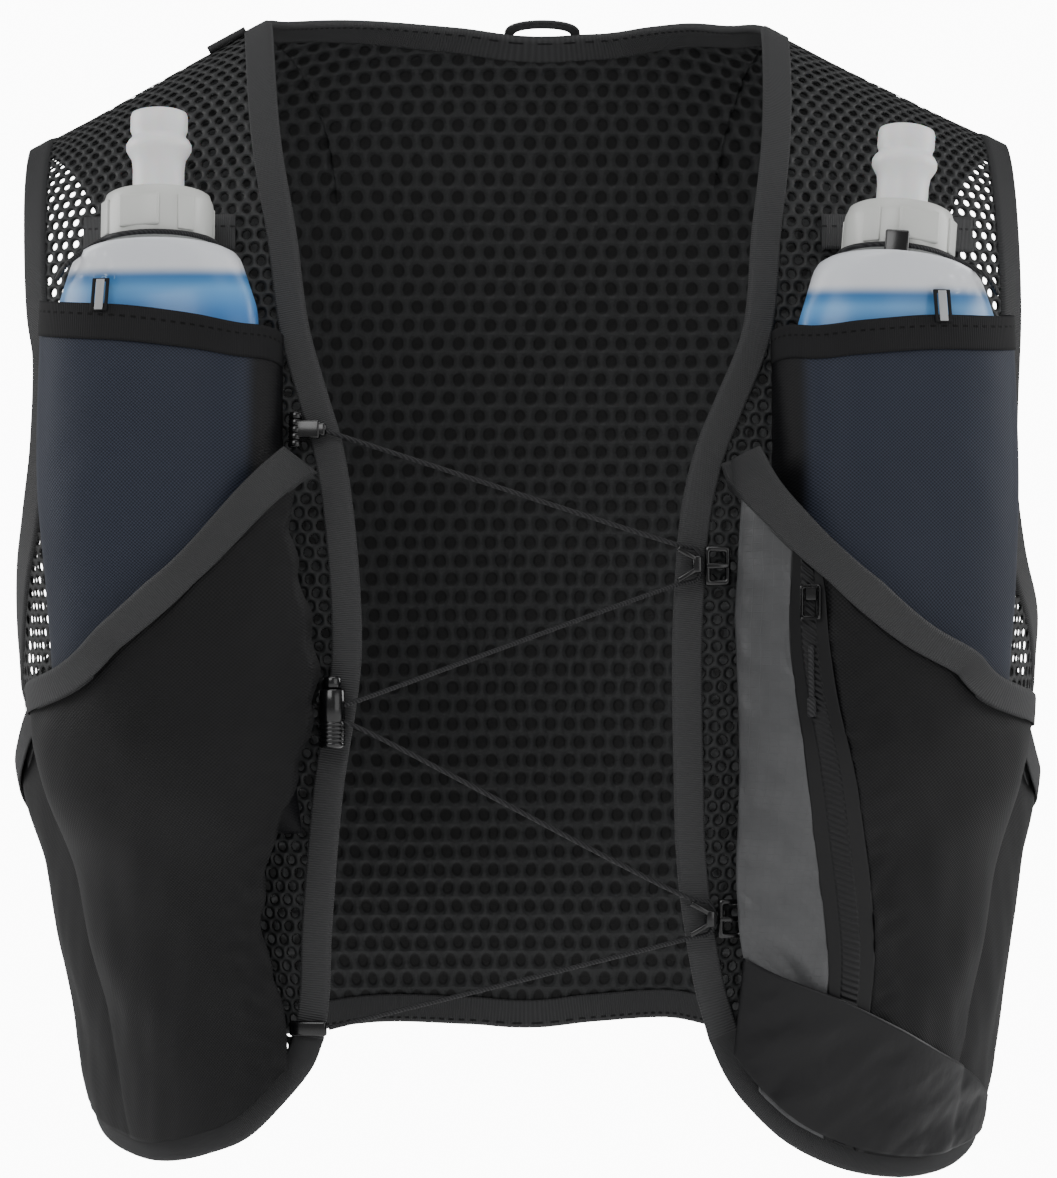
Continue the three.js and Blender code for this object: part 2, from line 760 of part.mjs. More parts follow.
// Sheet on a form between two offsets, each a length or a function of the spot.
function clothSheet(form, grid, from, to, isOpen) {
  const offset = (value, spot) => (typeof value === "function" ? value(spot) : value);
  const inner = grid.map((column) => column.map((spot) => skin(form, spot, offset(from, spot))));
  const outer = grid.map((column) => column.map((spot) => skin(form, spot, offset(to, spot))));
  return sheet(inner, outer, isOpen);
}

// Solid through rings of points, either closed on itself or ended with flat caps.
function loft(rings, closed = false) {
  const surface = new Surface();
  const spans = closed ? rings.length : rings.length - 1;
  for (let index = 0; index < spans; index += 1) {
    const here = rings[index];
    const next = rings[(index + 1) % rings.length];
    here.forEach((point, corner) => {
      const after = (corner + 1) % here.length;
      surface.quad(point, here[after], next[after], next[corner]);
    });
  }
  if (!closed) {
    const start = rings[0];
    const end = rings.at(-1);
    for (let corner = 1; corner < start.length - 1; corner += 1) {
      surface.triangle(start[0], start[corner + 1], start[corner]);
      surface.triangle(end[0], end[corner], end[corner + 1]);
    }
  }
  return surface.geometry();
}

// Folded tape between an edge line and the line beside it.
function tape(form, edge, inside, closed = false, lift = () => 0) {
  const rings = edge.map((spot, index) => {
    const other = inside[index];
    return [
      skin(form, spot, lift(spot) + TAPE_UNDER),
      skin(form, spot, lift(spot) + TAPE_OVER),
      skin(form, other, lift(other) + TAPE_OVER),
      skin(form, other, lift(other) + TAPE_UNDER),
    ];
  });
  return loft(rings, closed);
}

function add(name, geometry, finish, parent = vest) {
  const mesh = new THREE.Mesh(geometry, new THREE.MeshStandardMaterial(MATERIALS[finish]));
  mesh.name = name;
  parent.add(mesh);
  return mesh;
}

// Lengths of cloth round the chest at the height of the flasks, one table a side.

function arcTable(side) {
  const rows = [{ turn: 0, arc: 0 }];
  for (let turn = 1; turn <= ARC_DEGREES; turn += 1) {
    const before = chestPoint(girthOf(side, turn - 1), -ARC_HEIGHT);
    const step = chestPoint(girthOf(side, turn), -ARC_HEIGHT).distanceTo(before);
    rows.push({ turn, arc: rows.at(-1).arc + step });
  }
  return rows;
}

const ARCS = { right: arcTable("right"), left: arcTable("left") };

function flaskArc(side) {
  const middle = { reach: FLASK_PLACE[side].reach, drop: -ARC_HEIGHT / VEST_HEIGHT };
  const place = aim(chest, side, middle, () => FLASK_STANDOFF);
  return readStraight(ARCS[side], "turn", turnOf(place.girth), "arc");
}

const FLASK_ARC = { right: flaskArc("right"), left: flaskArc("left") };

// Distance round the chest from a flask's middle, positive towards the armhole.
function fromFlask(spot) {
  const side = sideOf(spot.girth);
  return readStraight(ARCS[side], "turn", turnOf(spot.girth), "arc") - FLASK_ARC[side];
}

function besideFlask(side, distance, height) {
  const turn = readStraight(ARCS[side], "arc", FLASK_ARC[side] + distance, "turn");
  return { girth: girthOf(side, turn), down: -height };
}

// Fall of the flasks' feet below the shoulders.
function flaskFoot() {
  return MEAN_NECK_DROP * VEST_HEIGHT + FLASK_LENGTH;
}

function swell(spot, form) {
  const away = fromFlask(spot);
  const spread = (away > 0 ? POCKET_OUTER_SPREAD : POCKET_INNER_SPREAD) + form.extra;
  const share = Math.min(Math.abs(away) / spread, 1);
  const below = (spot.down - flaskFoot()) / FLASK_LENGTH;
  const fullness = read(form.table, "below", below, "share");
  return (1 - share ** form.inner) ** form.outer * fullness;
}

const BOTTLE_FORM = { extra: 0, inner: 4, outer: 0.5, table: BOTTLE_SWELL };
const BOTTLE_OUTER_FORM = { ...BOTTLE_FORM, extra: POCKET_WALL };
const LOWER_FORM = { extra: LOWER_EXTRA_SPREAD, inner: 2.5, outer: 0.66, table: LOWER_SWELL };

const FLASK_FRONT = FLASK_STANDOFF + FLASK_HALF_THICKNESS;

function bottlePocketOffset(spot, form = BOTTLE_FORM) {
  return POCKET_BASE + (FLASK_FRONT + 1 - POCKET_BASE) * swell(spot, form);
}

function lowerPocketOffset(spot) {
  const full = FLASK_FRONT + POCKET_WALL + LOWER_CLEARANCE - LOWER_BASE;
  return LOWER_BASE + full * swell(spot, LOWER_FORM);
}

function netShares() {
  const gap = (1 - NET_BAR_SHARE) / NET_GAPS;
  const bar = NET_BAR_SHARE / (NET_GAPS + 1);
  const shares = [0];
  for (let index = 0; index < NET_GAPS; index += 1) {
    shares.push(shares.at(-1) + bar);
    shares.push(shares.at(-1) + gap);
  }
  shares.push(1);
  return shares;
}

// Shares up an edge: plain rows for the body, then the rows of the net below the shoulder line.
function rowShares(edgeLength) {
  const netTop = 1 - NET_START / edgeLength;
  const netFoot = netTop - NET_RUN / edgeLength;
  const body = evenShares(BODY_ROWS).map((share) => share * netFoot);
  const net = netShares().slice(1).map((share) => lerp(netFoot, netTop, share));
  return [...body, ...net, 1];
}

function isNetGap(column, row) {
  const netRow = row - BODY_ROWS;
  return column % 2 === 1 && netRow % 2 === 1 && netRow > 0 && netRow < 2 * NET_GAPS;
}

function pathLength(form, path) {
  let total = 0;
  for (let index = 1; index < path.length; index += 1) {
    const before = form.point(path[index - 1].girth, path[index - 1].down);
    total += form.point(path[index].girth, path[index].down).distanceTo(before);
  }
  return total;
}

// Straight run of spots between two ones, the second left out.
function seamBetween(foot, head, count) {
  return evenShares(count).slice(0, -1).map((share) => ({
    girth: lerp(foot.girth, head.girth, share),
    down: lerp(foot.down, head.down, share),
  }));
}

function frontEdgeSpots(side) {
  const middle = () => TAPE_OVER / 2;
  const spots = FRONT_EDGE[side].map((row) => aim(torso, side, row, middle));
  spots[0].down = RIDGE_GAP;
  return spots.reverse();
}

// Armhole edge up the front, from the side seam to the shoulder line.
function armholeFrontSpots(side) {
  const upper = ARMHOLE_FRONT[side].map((row) => aim(torso, side, row, null));
  upper[0].down = 0;
  const floor = ARMHOLE_FLOOR.map((row) => spotAt(torso, side, row));
  return [...upper, ...floor].reverse();
}

// Armhole edge up the back, ending at the same point of the shoulder line.
function armholeBackSpots(side, tip) {
  const spots = ARMHOLE_BACK.map((row) => spotAt(torso, side, row));
  spots.push({ girth: (side === "right" ? 540 : 180) - tip.girth, down: 0 });
  return spots;
}

function armholeLines(side) {
  const frontSpots = armholeFrontSpots(side);
  const edge = frontEdgeSpots(side);
  const shares = rowShares(pathLength(torso, edge));
  const seamShare = shares[SIDE_SEAM_ROWS];
  const upShares = shares.slice(SIDE_SEAM_ROWS).map((share) => (share - seamShare) / (1 - seamShare));
  const front = resample(frontSpots, upShares);
  const backSpots = armholeBackSpots(side, frontSpots.at(-1));
  const back = resample(backSpots, evenShares(BACK_ROWS - SIDE_SEAM_ROWS));
  return { front, back };
}

// Line beside an edge on the panel's side, with its ends kept square to their seams.
function innerLine(path, inward, distance, keep = {}) {
  const line = beside(torso, path, inward * distance);
  if (keep.startGirth) line[0].girth = path[0].girth;
  if (keep.endGirth) line.at(-1).girth = path.at(-1).girth;
  if (keep.startDown) line[0].down = path[0].down;
  if (keep.endDown) line.at(-1).down = path.at(-1).down;
  return line;
}

function inwardSign(side) {
  return side === "right" ? 1 : -1;
}

function addFront(side) {
  const inward = inwardSign(side);
  const edgeSpots = frontEdgeSpots(side);
  const shares = rowShares(pathLength(torso, edgeSpots));
  const edge = resample(edgeSpots, shares);
  const columns = netShares();
  const hemSpots = FRONT_HEM[side].map((row) => spotAt(torso, side, row));
  hemSpots[0] = edgeSpots[0];
  const outline = [...edge.slice().reverse(), ...resample(hemSpots, columns).slice(1)];
  const keep = { startDown: true, endGirth: true };
  const inner = innerLine(outline, inward, -TAPE_WIDTH, keep);
  add(`front_binding_${side}`, tape(torso, outline, inner), "tape");
  const rim = innerLine(outline, inward, -(TAPE_WIDTH + SEAM_GAP), keep);
  const frontLine = rim.slice(0, edge.length).reverse();
  const hemLine = rim.slice(edge.length - 1);
  const armLine = frontArmLine(side);
  armLine[0].girth = hemLine.at(-1).girth;
  armLine.at(-1).down = RIDGE_GAP;
  const sideLine = [...seamBetween(hemLine.at(-1), armLine[0], SIDE_SEAM_ROWS), ...armLine];
  const ridgeLine = columns.map((share) => ({
    girth: lerp(frontLine.at(-1).girth, sideLine.at(-1).girth, share),
    down: RIDGE_GAP,
  }));
  const grid = patch(frontLine, sideLine, hemLine, ridgeLine, shares, columns);
  add(`front_panel_${side}`, clothSheet(torso, grid, 0, PANEL_WALL, isNetGap), "mesh");
  return hemLine;
}

function addArmholeBinding(side) {
  const inward = inwardSign(side);
  const lines = armholeLines(side);
  const backDown = lines.back.slice(1, -1).reverse();
  const ring = [...lines.front, ...backDown];
  const inner = ringBeside(ring, -inward * TAPE_WIDTH);
  inner[0].girth = ring[0].girth;
  add(`armhole_binding_${side}`, tape(torso, ring, inner, true), "tape");
}

// Line beside a closed ring of spots.
function ringBeside(ring, distance) {
  const looped = [ring.at(-1), ...ring, ring[0]];
  return beside(torso, looped, distance).slice(1, -1);
}

function frontArmLine(side) {
  const lines = armholeLines(side);
  const looped = [lines.back[1], ...lines.front];
  return beside(torso, looped, -inwardSign(side) * (TAPE_WIDTH + ARMHOLE_GAP)).slice(1);
}

function backArmLine(side) {
  const lines = armholeLines(side);
  const tips = [lines.front.at(-1), lines.front.at(-2)];
  const looped = [lines.front[1], ...lines.back.slice(0, -1), ...tips];
  const line = beside(torso, looped, inwardSign(side) * (TAPE_WIDTH + ARMHOLE_GAP)).slice(1, -1);
  const seam = girthOf(side, SEAM_TURN + SEAM_TURN_GAP);
  line[0].girth = seam;
  const tip = line.at(-1);
  line[line.length - 1] = { girth: (side === "right" ? 540 : 180) - tip.girth, down: RIDGE_GAP };
  return line;
}

function backHemSpots() {
  return BACK_HEM.map((row) => ({ girth: row.turn, down: row.drop * VEST_HEIGHT }));
}

function toTorso(spot) {
  return { girth: spot.girth, down: runAt(spot.girth, -spot.down) };
}

function collarSpots() {
  const spots = COLLAR_EDGE.map((row) => {
    const side = row.reach < 0 ? "right" : "left";
    return aim(torso, side, { reach: Math.abs(row.reach), drop: row.drop }, null, true);
  });
  spots[0].down = RIDGE_GAP;
  spots.at(-1).down = RIDGE_GAP;
  return spots.reverse();
}

function addBack() {
  const columns = 2 * STRAP_COLUMNS + COLLAR_COLUMNS;
  const hem = resample(backHemSpots(), evenShares(columns)).map(toTorso);
  const keepSeams = { startGirth: true, endGirth: true };
  const hemInner = innerLine(hem, 1, TAPE_WIDTH, keepSeams);
  add("back_hem_binding", tape(torso, hem, hemInner), "tape");
  const hemLine = innerLine(hem, 1, TAPE_WIDTH + SEAM_GAP, keepSeams);
  const collar = resample(collarSpots(), evenShares(COLLAR_COLUMNS));
  const keepRidge = { startDown: true, endDown: true };
  add("collar_binding", tape(torso, collar, innerLine(collar, -1, TAPE_WIDTH, keepRidge)), "tape");
  const collarLine = innerLine(collar, -1, TAPE_WIDTH + SEAM_GAP, keepRidge);
  const leftArm = backArmLine("left");
  const rightArm = backArmLine("right");
  const leftLine = [...seamBetween(hemLine[0], leftArm[0], SIDE_SEAM_ROWS), ...leftArm];
  const rightLine = [...seamBetween(hemLine.at(-1), rightArm[0], SIDE_SEAM_ROWS), ...rightArm];
  const leftRidge = seamBetween(leftLine.at(-1), collarLine[0], STRAP_COLUMNS);
  const rightRidge = seamBetween(rightLine.at(-1), collarLine.at(-1), STRAP_COLUMNS).reverse();
  const top = [...leftRidge, ...collarLine, ...rightRidge];
  const grid = patch(leftLine, rightLine, hemLine, top, evenShares(BACK_ROWS), evenShares(columns));
  add("back_panel", clothSheet(torso, grid, 0, PANEL_WALL), "backMesh");
}

// Bottle pockets, grown out over the flasks.

function bottleColumn(side, share) {
  const sine = Math.sin((1 - 2 * share) * Math.PI / 2);
  const distance = sine * (sine > 0 ? POCKET_OUTER_SPREAD : POCKET_INNER_SPREAD);
  const across = (POCKET_OUTER_SPREAD - distance) / (POCKET_OUTER_SPREAD + POCKET_INNER_SPREAD);
  const top = VEST_HEIGHT * read(BOTTLE_POCKET_TOP[side], "across", across, "drop");
  return { distance, top };
}

function bottleGrid(side, fallsOf) {
  return evenShares(BOTTLE_COLUMNS).map((share) => {
    const column = bottleColumn(side, share);
    return fallsOf(column.top).map((fall) => besideFlask(side, column.distance, -fall));
  });
}

function addBottlePocket(side) {
  const foot = flaskFoot() + BOTTLE_POCKET_BELOW * FLASK_LENGTH;
  const fallsOf = (top) => BOTTLE_ROWS.map((share) => lerp(foot, top + BAND_HEIGHT + SEAM_GAP, share));
  const walls = bottleGrid(side, fallsOf);
  const inner = (spot) => bottlePocketOffset(spot);
  const outer = (spot) => bottlePocketOffset(spot, BOTTLE_OUTER_FORM) + POCKET_WALL;
  add(`bottle_pocket_${side}`, clothSheet(chest, walls, inner, outer), "stretch");
  const band = bottleGrid(side, (top) => [top + BAND_HEIGHT, top]);
  const bandOuter = (spot) => bottlePocketOffset(spot) + BAND_WALL;
  add(`bottle_pocket_hem_${side}`, clothSheet(chest, band, inner, bandOuter), "tape");
}

// Lower pockets, with their slanting tapes, the ripstop, the zip and the hem overlay.

function toChest(spot) {
  return { girth: spot.girth, down: -torsoPoint(spot.girth, spot.down).z };
}

// Part of a line between two girths, read at shares of the way.
function stretchOf(line, from, to, shares) {
  const rows = line.slice().sort((a, b) => a.girth - b.girth);
  return shares.map((share) => {
    const girth = lerp(from, to, share);
    return { girth, down: readStraight(rows, "girth", girth, "down") };
  });
}

function slantLines(side) {
  const offset = (spot) => lowerPocketOffset(spot) + POCKET_WALL;
  const spots = SLANT_EDGE[side].map((row) => aim(chest, side, row, offset));
  spots.push(spotAt(chest, side, SLANT_END));
  const edge = resample(spots, evenShares(LOWER_COLUMNS + 3));
  const sign = side === "right" ? 1 : -1;
  const inner = beside(chest, edge, sign * TAPE_WIDTH);
  const line = beside(chest, edge, sign * (TAPE_WIDTH + SLANT_GAP));
  for (const path of [inner, line]) path.at(-1).girth = edge.at(-1).girth;
  return { edge, inner, line };
}

function edgeSpots(side, rows) {
  const offset = (spot) => lowerPocketOffset(spot) + POCKET_WALL;
  return rows.map((row) => aim(chest, side, row, offset));
}

// Piece of the lower pocket between two upright lines, up to the slanting tape.
function lowerPiece(slant, hemLine, innerSpots, outerSpots, columns) {
  const hem = hemLine.map(toChest);
  const trimmed = [innerSpots, outerSpots].map((spots) => {
    const foot = stretchOf(hem, spots[0].girth, spots[0].girth, [0])[0];
    const head = stretchOf(slant.line, spots.at(-1).girth, spots.at(-1).girth, [0])[0];
    const between = spots.slice(1, -1).filter((spot) => (
      spot.down < foot.down - TRIM_MARGIN && spot.down > head.down + TRIM_MARGIN
    ));
    return resample([foot, ...between, head], evenShares(LOWER_ROWS));
  });
  const [inner, outer] = trimmed;
  const shares = evenShares(columns);
  const bottom = stretchOf(hem, inner[0].girth, outer[0].girth, shares);
  const top = stretchOf(slant.line, inner.at(-1).girth, outer.at(-1).girth, shares);
  return patch(inner, outer, bottom, top, evenShares(LOWER_ROWS), shares);
}

function addLowerCloth(name, grid, finish, rise = 0, wall = POCKET_WALL) {
  const inner = (spot) => lowerPocketOffset(spot) + rise;
  const outer = (spot) => lowerPocketOffset(spot) + rise + wall;
  return add(name, clothSheet(chest, grid, inner, outer), finish);
}

function addSlant(side, slant) {
  const lift = (spot) => lowerPocketOffset(spot) - TAPE_UNDER;
  add(`lower_pocket_binding_${side}`, tape(chest, slant.edge, slant.inner, false, lift), "tape");
}

function shifted(spots, degrees) {
  return spots.map((spot) => ({ girth: spot.girth + degrees, down: spot.down }));
}

function sideSeamSpots(side, hemLine) {
  const girth = hemLine.at(-1).girth;
  return [toChest(hemLine.at(-1)), { girth, down: SLANT_END.drop * VEST_HEIGHT }];
}

function addLowerRight(hemLine) {
  const slant = slantLines("right");
  addSlant("right", slant);
  const inner = edgeSpots("right", LOWER_INNER_EDGE.right).reverse();
  const grid = lowerPiece(slant, hemLine, inner, sideSeamSpots("right", hemLine), LOWER_COLUMNS + 1);
  addLowerCloth("lower_pocket_right", grid, "pocket");
}

function addLowerLeft(hemLine) {
  const slant = slantLines("left");
  addSlant("left", slant);
  const inner = edgeSpots("left", LOWER_INNER_EDGE.left).reverse();
  const ripstop = edgeSpots("left", RIPSTOP_SEAM).reverse();
  const zip = edgeSpots("left", ZIP_SEAM).reverse();
  addLowerCloth("ripstop_panel", lowerPiece(slant, hemLine, inner, ripstop, 3), "ripstop");
  const strip = lowerPiece(slant, hemLine, shifted(ripstop, SEAM_DEGREES), zip, 2);
  addLowerCloth("zip_tape", strip, "tape");
  const seam = sideSeamSpots("left", hemLine);
  const outerZip = shifted(zip, SEAM_DEGREES);
  addLowerCloth("lower_pocket_left", lowerPiece(slant, hemLine, outerZip, seam, 10), "pocket");
  addOverlay(hemLine);
}

function addOverlay(hemLine) {
  const hem = hemLine.map(toChest);
  const top = resample(edgeSpots("left", OVERLAY_EDGE), evenShares(9));
  const grid = top.map((spot) => {
    const foot = stretchOf(hem, spot.girth, spot.girth, [0])[0];
    const low = foot.down - OVERLAY_HEM_GAP;
    return evenShares(3).map((share) => ({ girth: spot.girth, down: lerp(low, spot.down, share) }));
  });
  addLowerCloth("hem_overlay", grid, "nylon", OVERLAY_RISE, OVERLAY_WALL);
}

// Solids for booleans.
function solidOf(geometry) {
  const bare = geometry.clone();
  for (const name of Object.keys(bare.attributes)) {
    if (name !== "position") bare.deleteAttribute(name);
  }
  const merged = mergeVertices(bare, 1e-4);
  const mesh = new wasm.Mesh({
    numProp: 3,
    vertProperties: new Float32Array(merged.attributes.position.array),
    triVerts: new Uint32Array(merged.index.array),
  });
  return new wasm.Manifold(mesh);
}

function geometryOf(solid) {
  const mesh = solid.getMesh();
  const geometry = new THREE.BufferGeometry();
  geometry.setAttribute("position", new THREE.BufferAttribute(new Float32Array(mesh.vertProperties), 3));
  geometry.setIndex(new THREE.BufferAttribute(new Uint32Array(mesh.triVerts), 1));
  const flat = geometry.toNonIndexed();
  flat.computeVertexNormals();
  return flat;
}

function box(size, x = 0, z = 0) {
  return new THREE.BoxGeometry(size.width, size.height, size.depth).translate(x, 0, z);
}

function rod(radius, length, sides = 12) {
  return new THREE.CylinderGeometry(radius, radius, length, sides);
}

function outline(points, holes = []) {
  const shape = new THREE.Shape(points.map(([x, y]) => new THREE.Vector2(x, y)));
  for (const hole of holes) {
    shape.holes.push(new THREE.Path(hole.map(([x, y]) => new THREE.Vector2(x, y))));
  }
  return shape;
}

function rectangle(width, height) {
  const x = width / 2;
  const y = height / 2;
  return [[-x, -y], [x, -y], [x, y], [-x, y]];
}

function plate(shape, depth, z = 0) {
  return new THREE.ExtrudeGeometry(shape, { depth, bevelEnabled: false }).translate(0, 0, z);
}

// Frame that stands on a surface: across to the viewer's right, up, and out of the surface.
function frameOn(surface, spot) {
  const east = surface({ girth: spot.girth + 1, down: spot.down });
  const south = surface({ girth: spot.girth, down: spot.down + 2 });
  const here = surface(spot);
  const out = south.sub(here).cross(east.sub(here)).normalize();
  const up = new THREE.Vector3(0, 0, 1).addScaledVector(out, -out.z).normalize();
  const across = new THREE.Vector3().crossVectors(up, out);
  return new THREE.Matrix4().makeBasis(across, up, out).setPosition(here);
}

const tapeSurface = (spot) => skin(torso, spot, TAPE_OVER);
const lowerSurface = (spot) => skin(chest, spot, lowerPocketOffset(spot) + POCKET_WALL);

const tapeOver = () => TAPE_OVER;
const lowerOver = (spot) => lowerPocketOffset(spot) + POCKET_WALL;

function tapeFrame(side, place) {
  return frameOn(tapeSurface, aim(torso, side, place, tapeOver));
}

function lowerFrame(side, place) {
  return frameOn(lowerSurface, aim(chest, side, place, lowerOver));
}

function addFixed(name, geometry, finish, frame) {
  return add(name, geometry.applyMatrix4(frame), finish);
}

// Flasks with their caps, valves, cords and straps.

function flaskNeckHeight(side) {
  return -FLASK_PLACE[side].neckDrop * VEST_HEIGHT;
}

function flaskRing(side, section) {
  if (section.rise === 1) return neckRing(side, section);
  const height = flaskNeckHeight(side) - FLASK_LENGTH * (1 - section.rise);
  return Array.from({ length: FLASK_SIDES }, (item, index) => {
    const angle = (TURN * index) / FLASK_SIDES;
    const distance = FLASK_HALF_WIDTH * section.width * Math.cos(angle);
    const offset = FLASK_STANDOFF + FLASK_HALF_THICKNESS * section.thickness * Math.sin(angle);
    return skin(chest, besideFlask(side, distance, height), offset);
  });
}

// Top ring of a flask, flat under its cap.
function neckRing(side, section) {
  const frame = neckFrame(side);
  const radius = FLASK_HALF_WIDTH * section.width;
  return Array.from({ length: FLASK_SIDES }, (item, index) => {
    const angle = (TURN * index) / FLASK_SIDES;
    const across = signOf(side) * radius * Math.cos(angle);
    return new THREE.Vector3(across, -SEAM_GAP, radius * Math.sin(angle)).applyMatrix4(frame);
  });
}

// Frame on a flask's neck: its up axis is the neck's.
function neckFrame(side) {
  const spot = besideFlask(side, 0, flaskNeckHeight(side));
  const up = alongDown(chest, spot).negate();
  const lean = THREE.MathUtils.degToRad(FLASK_PLACE[side].lean);
  const out = outward(chest, spot);
  up.applyAxisAngle(out, -lean);
  const across = new THREE.Vector3().crossVectors(up, out).normalize();
  const base = skin(chest, spot, FLASK_STANDOFF);
  return new THREE.Matrix4().makeBasis(across, up, out).setPosition(base);
}

function turned(profile, radius, height, sides, foot = 0) {
  const points = [new THREE.Vector2(0, foot)];
  for (const row of profile) points.push(new THREE.Vector2(row.radius * radius, foot + row.height * height));
  points.push(new THREE.Vector2(0, foot + height));
  return new THREE.LatheGeometry(points, sides);
}

function circle(radius, sides) {
  const points = Array.from({ length: sides }, (item, index) => {
    const angle = (TURN * index) / sides;
    return new THREE.Vector2(radius * Math.cos(angle), radius * Math.sin(angle));
  });
  return new THREE.Shape(points);
}

function cordAlong(curve, radius, steps) {
  return new THREE.ExtrudeGeometry(circle(radius, 8), { steps, bevelEnabled: false, extrudePath: curve });
}

function roundCap(frame, degrees, radius, height) {
  const angle = THREE.MathUtils.degToRad(degrees);
  return new THREE.Vector3(radius * Math.cos(angle), height, radius * Math.sin(angle)).applyMatrix4(frame);
}

function flaskCord(side) {
  const frame = neckFrame(side);
  const turns = CORD_TURNS[side];
  const radius = CAP_RADIUS + FLASK_CORD_RADIUS + CORD_CLEARANCE;
  const top = VEST_HEIGHT * BOTTLE_POCKET_TOP[side][0].drop;
  const points = [CORD_LOW, CORD_MIDDLE].map(({ across, under, off }) => (
    skin(chest, besideFlask(side, across, -(top + under)), FLASK_STANDOFF + off)
  ));
  for (const share of evenShares(12)) {
    points.push(roundCap(frame, lerp(turns.from, turns.to, share), radius, CORD_HEIGHT));
  }
  return new THREE.CatmullRomCurve3(points, false, "centripetal");
}

function addFlask(side) {
  add(`flask_body_${side}`, loft(FLASK_SECTIONS.map((section) => flaskRing(side, section))), "film");
  const frame = neckFrame(side);
  addFixed(`flask_cap_${side}`, turned(CAP_PROFILE, CAP_RADIUS, CAP_HEIGHT, 16), "cap", frame);
  const valve = turned(VALVE_PROFILE, VALVE_RADIUS, VALVE_HEIGHT, 12, CAP_HEIGHT + SEAM_GAP);
  addFixed(`flask_valve_${side}`, valve, "valve", frame);
  add(`flask_cord_${side}`, cordAlong(flaskCord(side), FLASK_CORD_RADIUS, 30), "cord");
  addStrap(side);
  addReflectiveLoop(side);
}

function addStrap(side) {
  const columns = evenShares(5).map((share) => {
    const reach = lerp(STRAP.from, STRAP.to, share);
    return [STRAP.footDrop, STRAP.topDrop].map((drop) => aim(torso, side, { reach, drop }, null));
  });
  const from = PANEL_WALL + STRAP.rise;
  add(`flask_strap_${side}`, clothSheet(torso, columns, from, from + STRAP.wall), "tape");
}

function addReflectiveLoop(side) {
  const { width, height, tape: band, wall } = LOOP;
  const hole = rectangle(width - 2 * band, height - 2 * band);
  const shape = outline(rectangle(width, height), [hole]);
  const share = LOOP_ACROSS[side];
  const distance = lerp(POCKET_OUTER_SPREAD, -POCKET_INNER_SPREAD, share);
  const top = VEST_HEIGHT * read(BOTTLE_POCKET_TOP[side], "across", share, "drop");
  const surface = (spot) => skin(chest, spot, bottlePocketOffset(spot) + BAND_WALL);
  const frame = frameOn(surface, besideFlask(side, distance, -top));
  const standing = plate(shape, wall, LOOP.rise).translate(0, height / 2 - LOOP.sunk, 0);
  addFixed(`reflective_loop_${side}`, standing, "reflective", frame);
}

function addToggle() {
  const frame = neckFrame("left");
  const radius = CAP_RADIUS + FLASK_CORD_RADIUS + CORD_CLEARANCE;
  const hole = rod(FLASK_CORD_RADIUS + TOGGLE.clearance, 2 * TOGGLE.width, 8).rotateZ(Math.PI / 2);
  const body = solidOf(box(TOGGLE, 0, TOGGLE.shift)).subtract(solidOf(hole));
  const angle = THREE.MathUtils.degToRad(TOGGLE.turn);
  const placed = geometryOf(body).rotateY(Math.PI / 2 - angle);
  placed.translate(radius * Math.cos(angle), CORD_HEIGHT, radius * Math.sin(angle));
  addFixed("flask_cord_toggle", placed, "hardware", frame);
}

function addHook() {
  const { radius, height, x, z } = HOOK_BARREL;
  const barrel = solidOf(rod(radius, height).translate(x, 0, z));
  const block = solidOf(box(HOOK_BLOCK, HOOK_BLOCK.x, HOOK_BLOCK.z));
  addFixed("lace_hook", geometryOf(barrel.add(block)), "hardware", tapeFrame("right", HOOK));
}

function addGuide(level) {
  const triangle = outline(GUIDE_CORNERS.map(({ x, y }) => [x, y]));
  const face = solidOf(plate(triangle, GUIDE.wall, GUIDE.z));
  const upright = rod(GUIDE.postRadius, GUIDE.postLength, 10).rotateX(Math.PI / 2);
  const post = solidOf(upright.translate(GUIDE.postX, 0, GUIDE.postZ));
  const frame = tapeFrame("left", GUIDES[level]);
  addFixed(`lace_guide_${level}`, geometryOf(face.add(post)), "hardware", frame);
}

function addBuckle(level) {
  const hole = rectangle(BUCKLE.holeWidth, BUCKLE.holeHeight);
  const shape = outline(rectangle(BUCKLE.width, BUCKLE.height), [hole]);
  const frame = tapeFrame("left", BUCKLES[level]);
  addFixed(`lace_buckle_${level}`, plate(shape, BUCKLE.wall, BUCKLE.z), "hardware", frame);
}

function lockFrame() {
  const frame = tapeFrame("right", LOCK);
  const out = new THREE.Vector3().setFromMatrixColumn(frame, 2);
  out.z = 0;
  out.normalize();
  const up = new THREE.Vector3(0, 0, 1);
  const across = new THREE.Vector3().crossVectors(up, out);
  const base = new THREE.Vector3().setFromMatrixPosition(frame);
  base.addScaledVector(out, LOCK_RADIUS + LOCK_SIZES.gap);
  return new THREE.Matrix4().makeBasis(across, up, out).setPosition(base);
}

function addCordLock() {
  const top = LOCK_HEIGHT / 2;
  const bore = LOCK_RADIUS - LOCK_WALL;
  let barrel = solidOf(rod(LOCK_RADIUS, LOCK_HEIGHT, 16));
  barrel = barrel.subtract(solidOf(rod(bore, 2 * LOCK_SIZES.bore, 16).translate(0, top, 0)));
  for (const height of Object.values(LOCK_HOLES)) {
    const hole = rod(LOCK_SIZES.hole, 4 * LOCK_RADIUS, 8).rotateZ(Math.PI / 2).translate(0, height, 0);
    barrel = barrel.subtract(solidOf(hole));
  }
  addFixed("cord_lock_barrel", geometryOf(barrel), "hardware", lockFrame());
  const length = LOCK_SIZES.head + LOCK_SIZES.stem;
  const button = rod(bore - LOCK_SIZES.clearance, length, 12);
  button.translate(0, top + length / 2 - LOCK_SIZES.stem, 0);
  addFixed("cord_lock_button", button, "hardware", lockFrame());
}

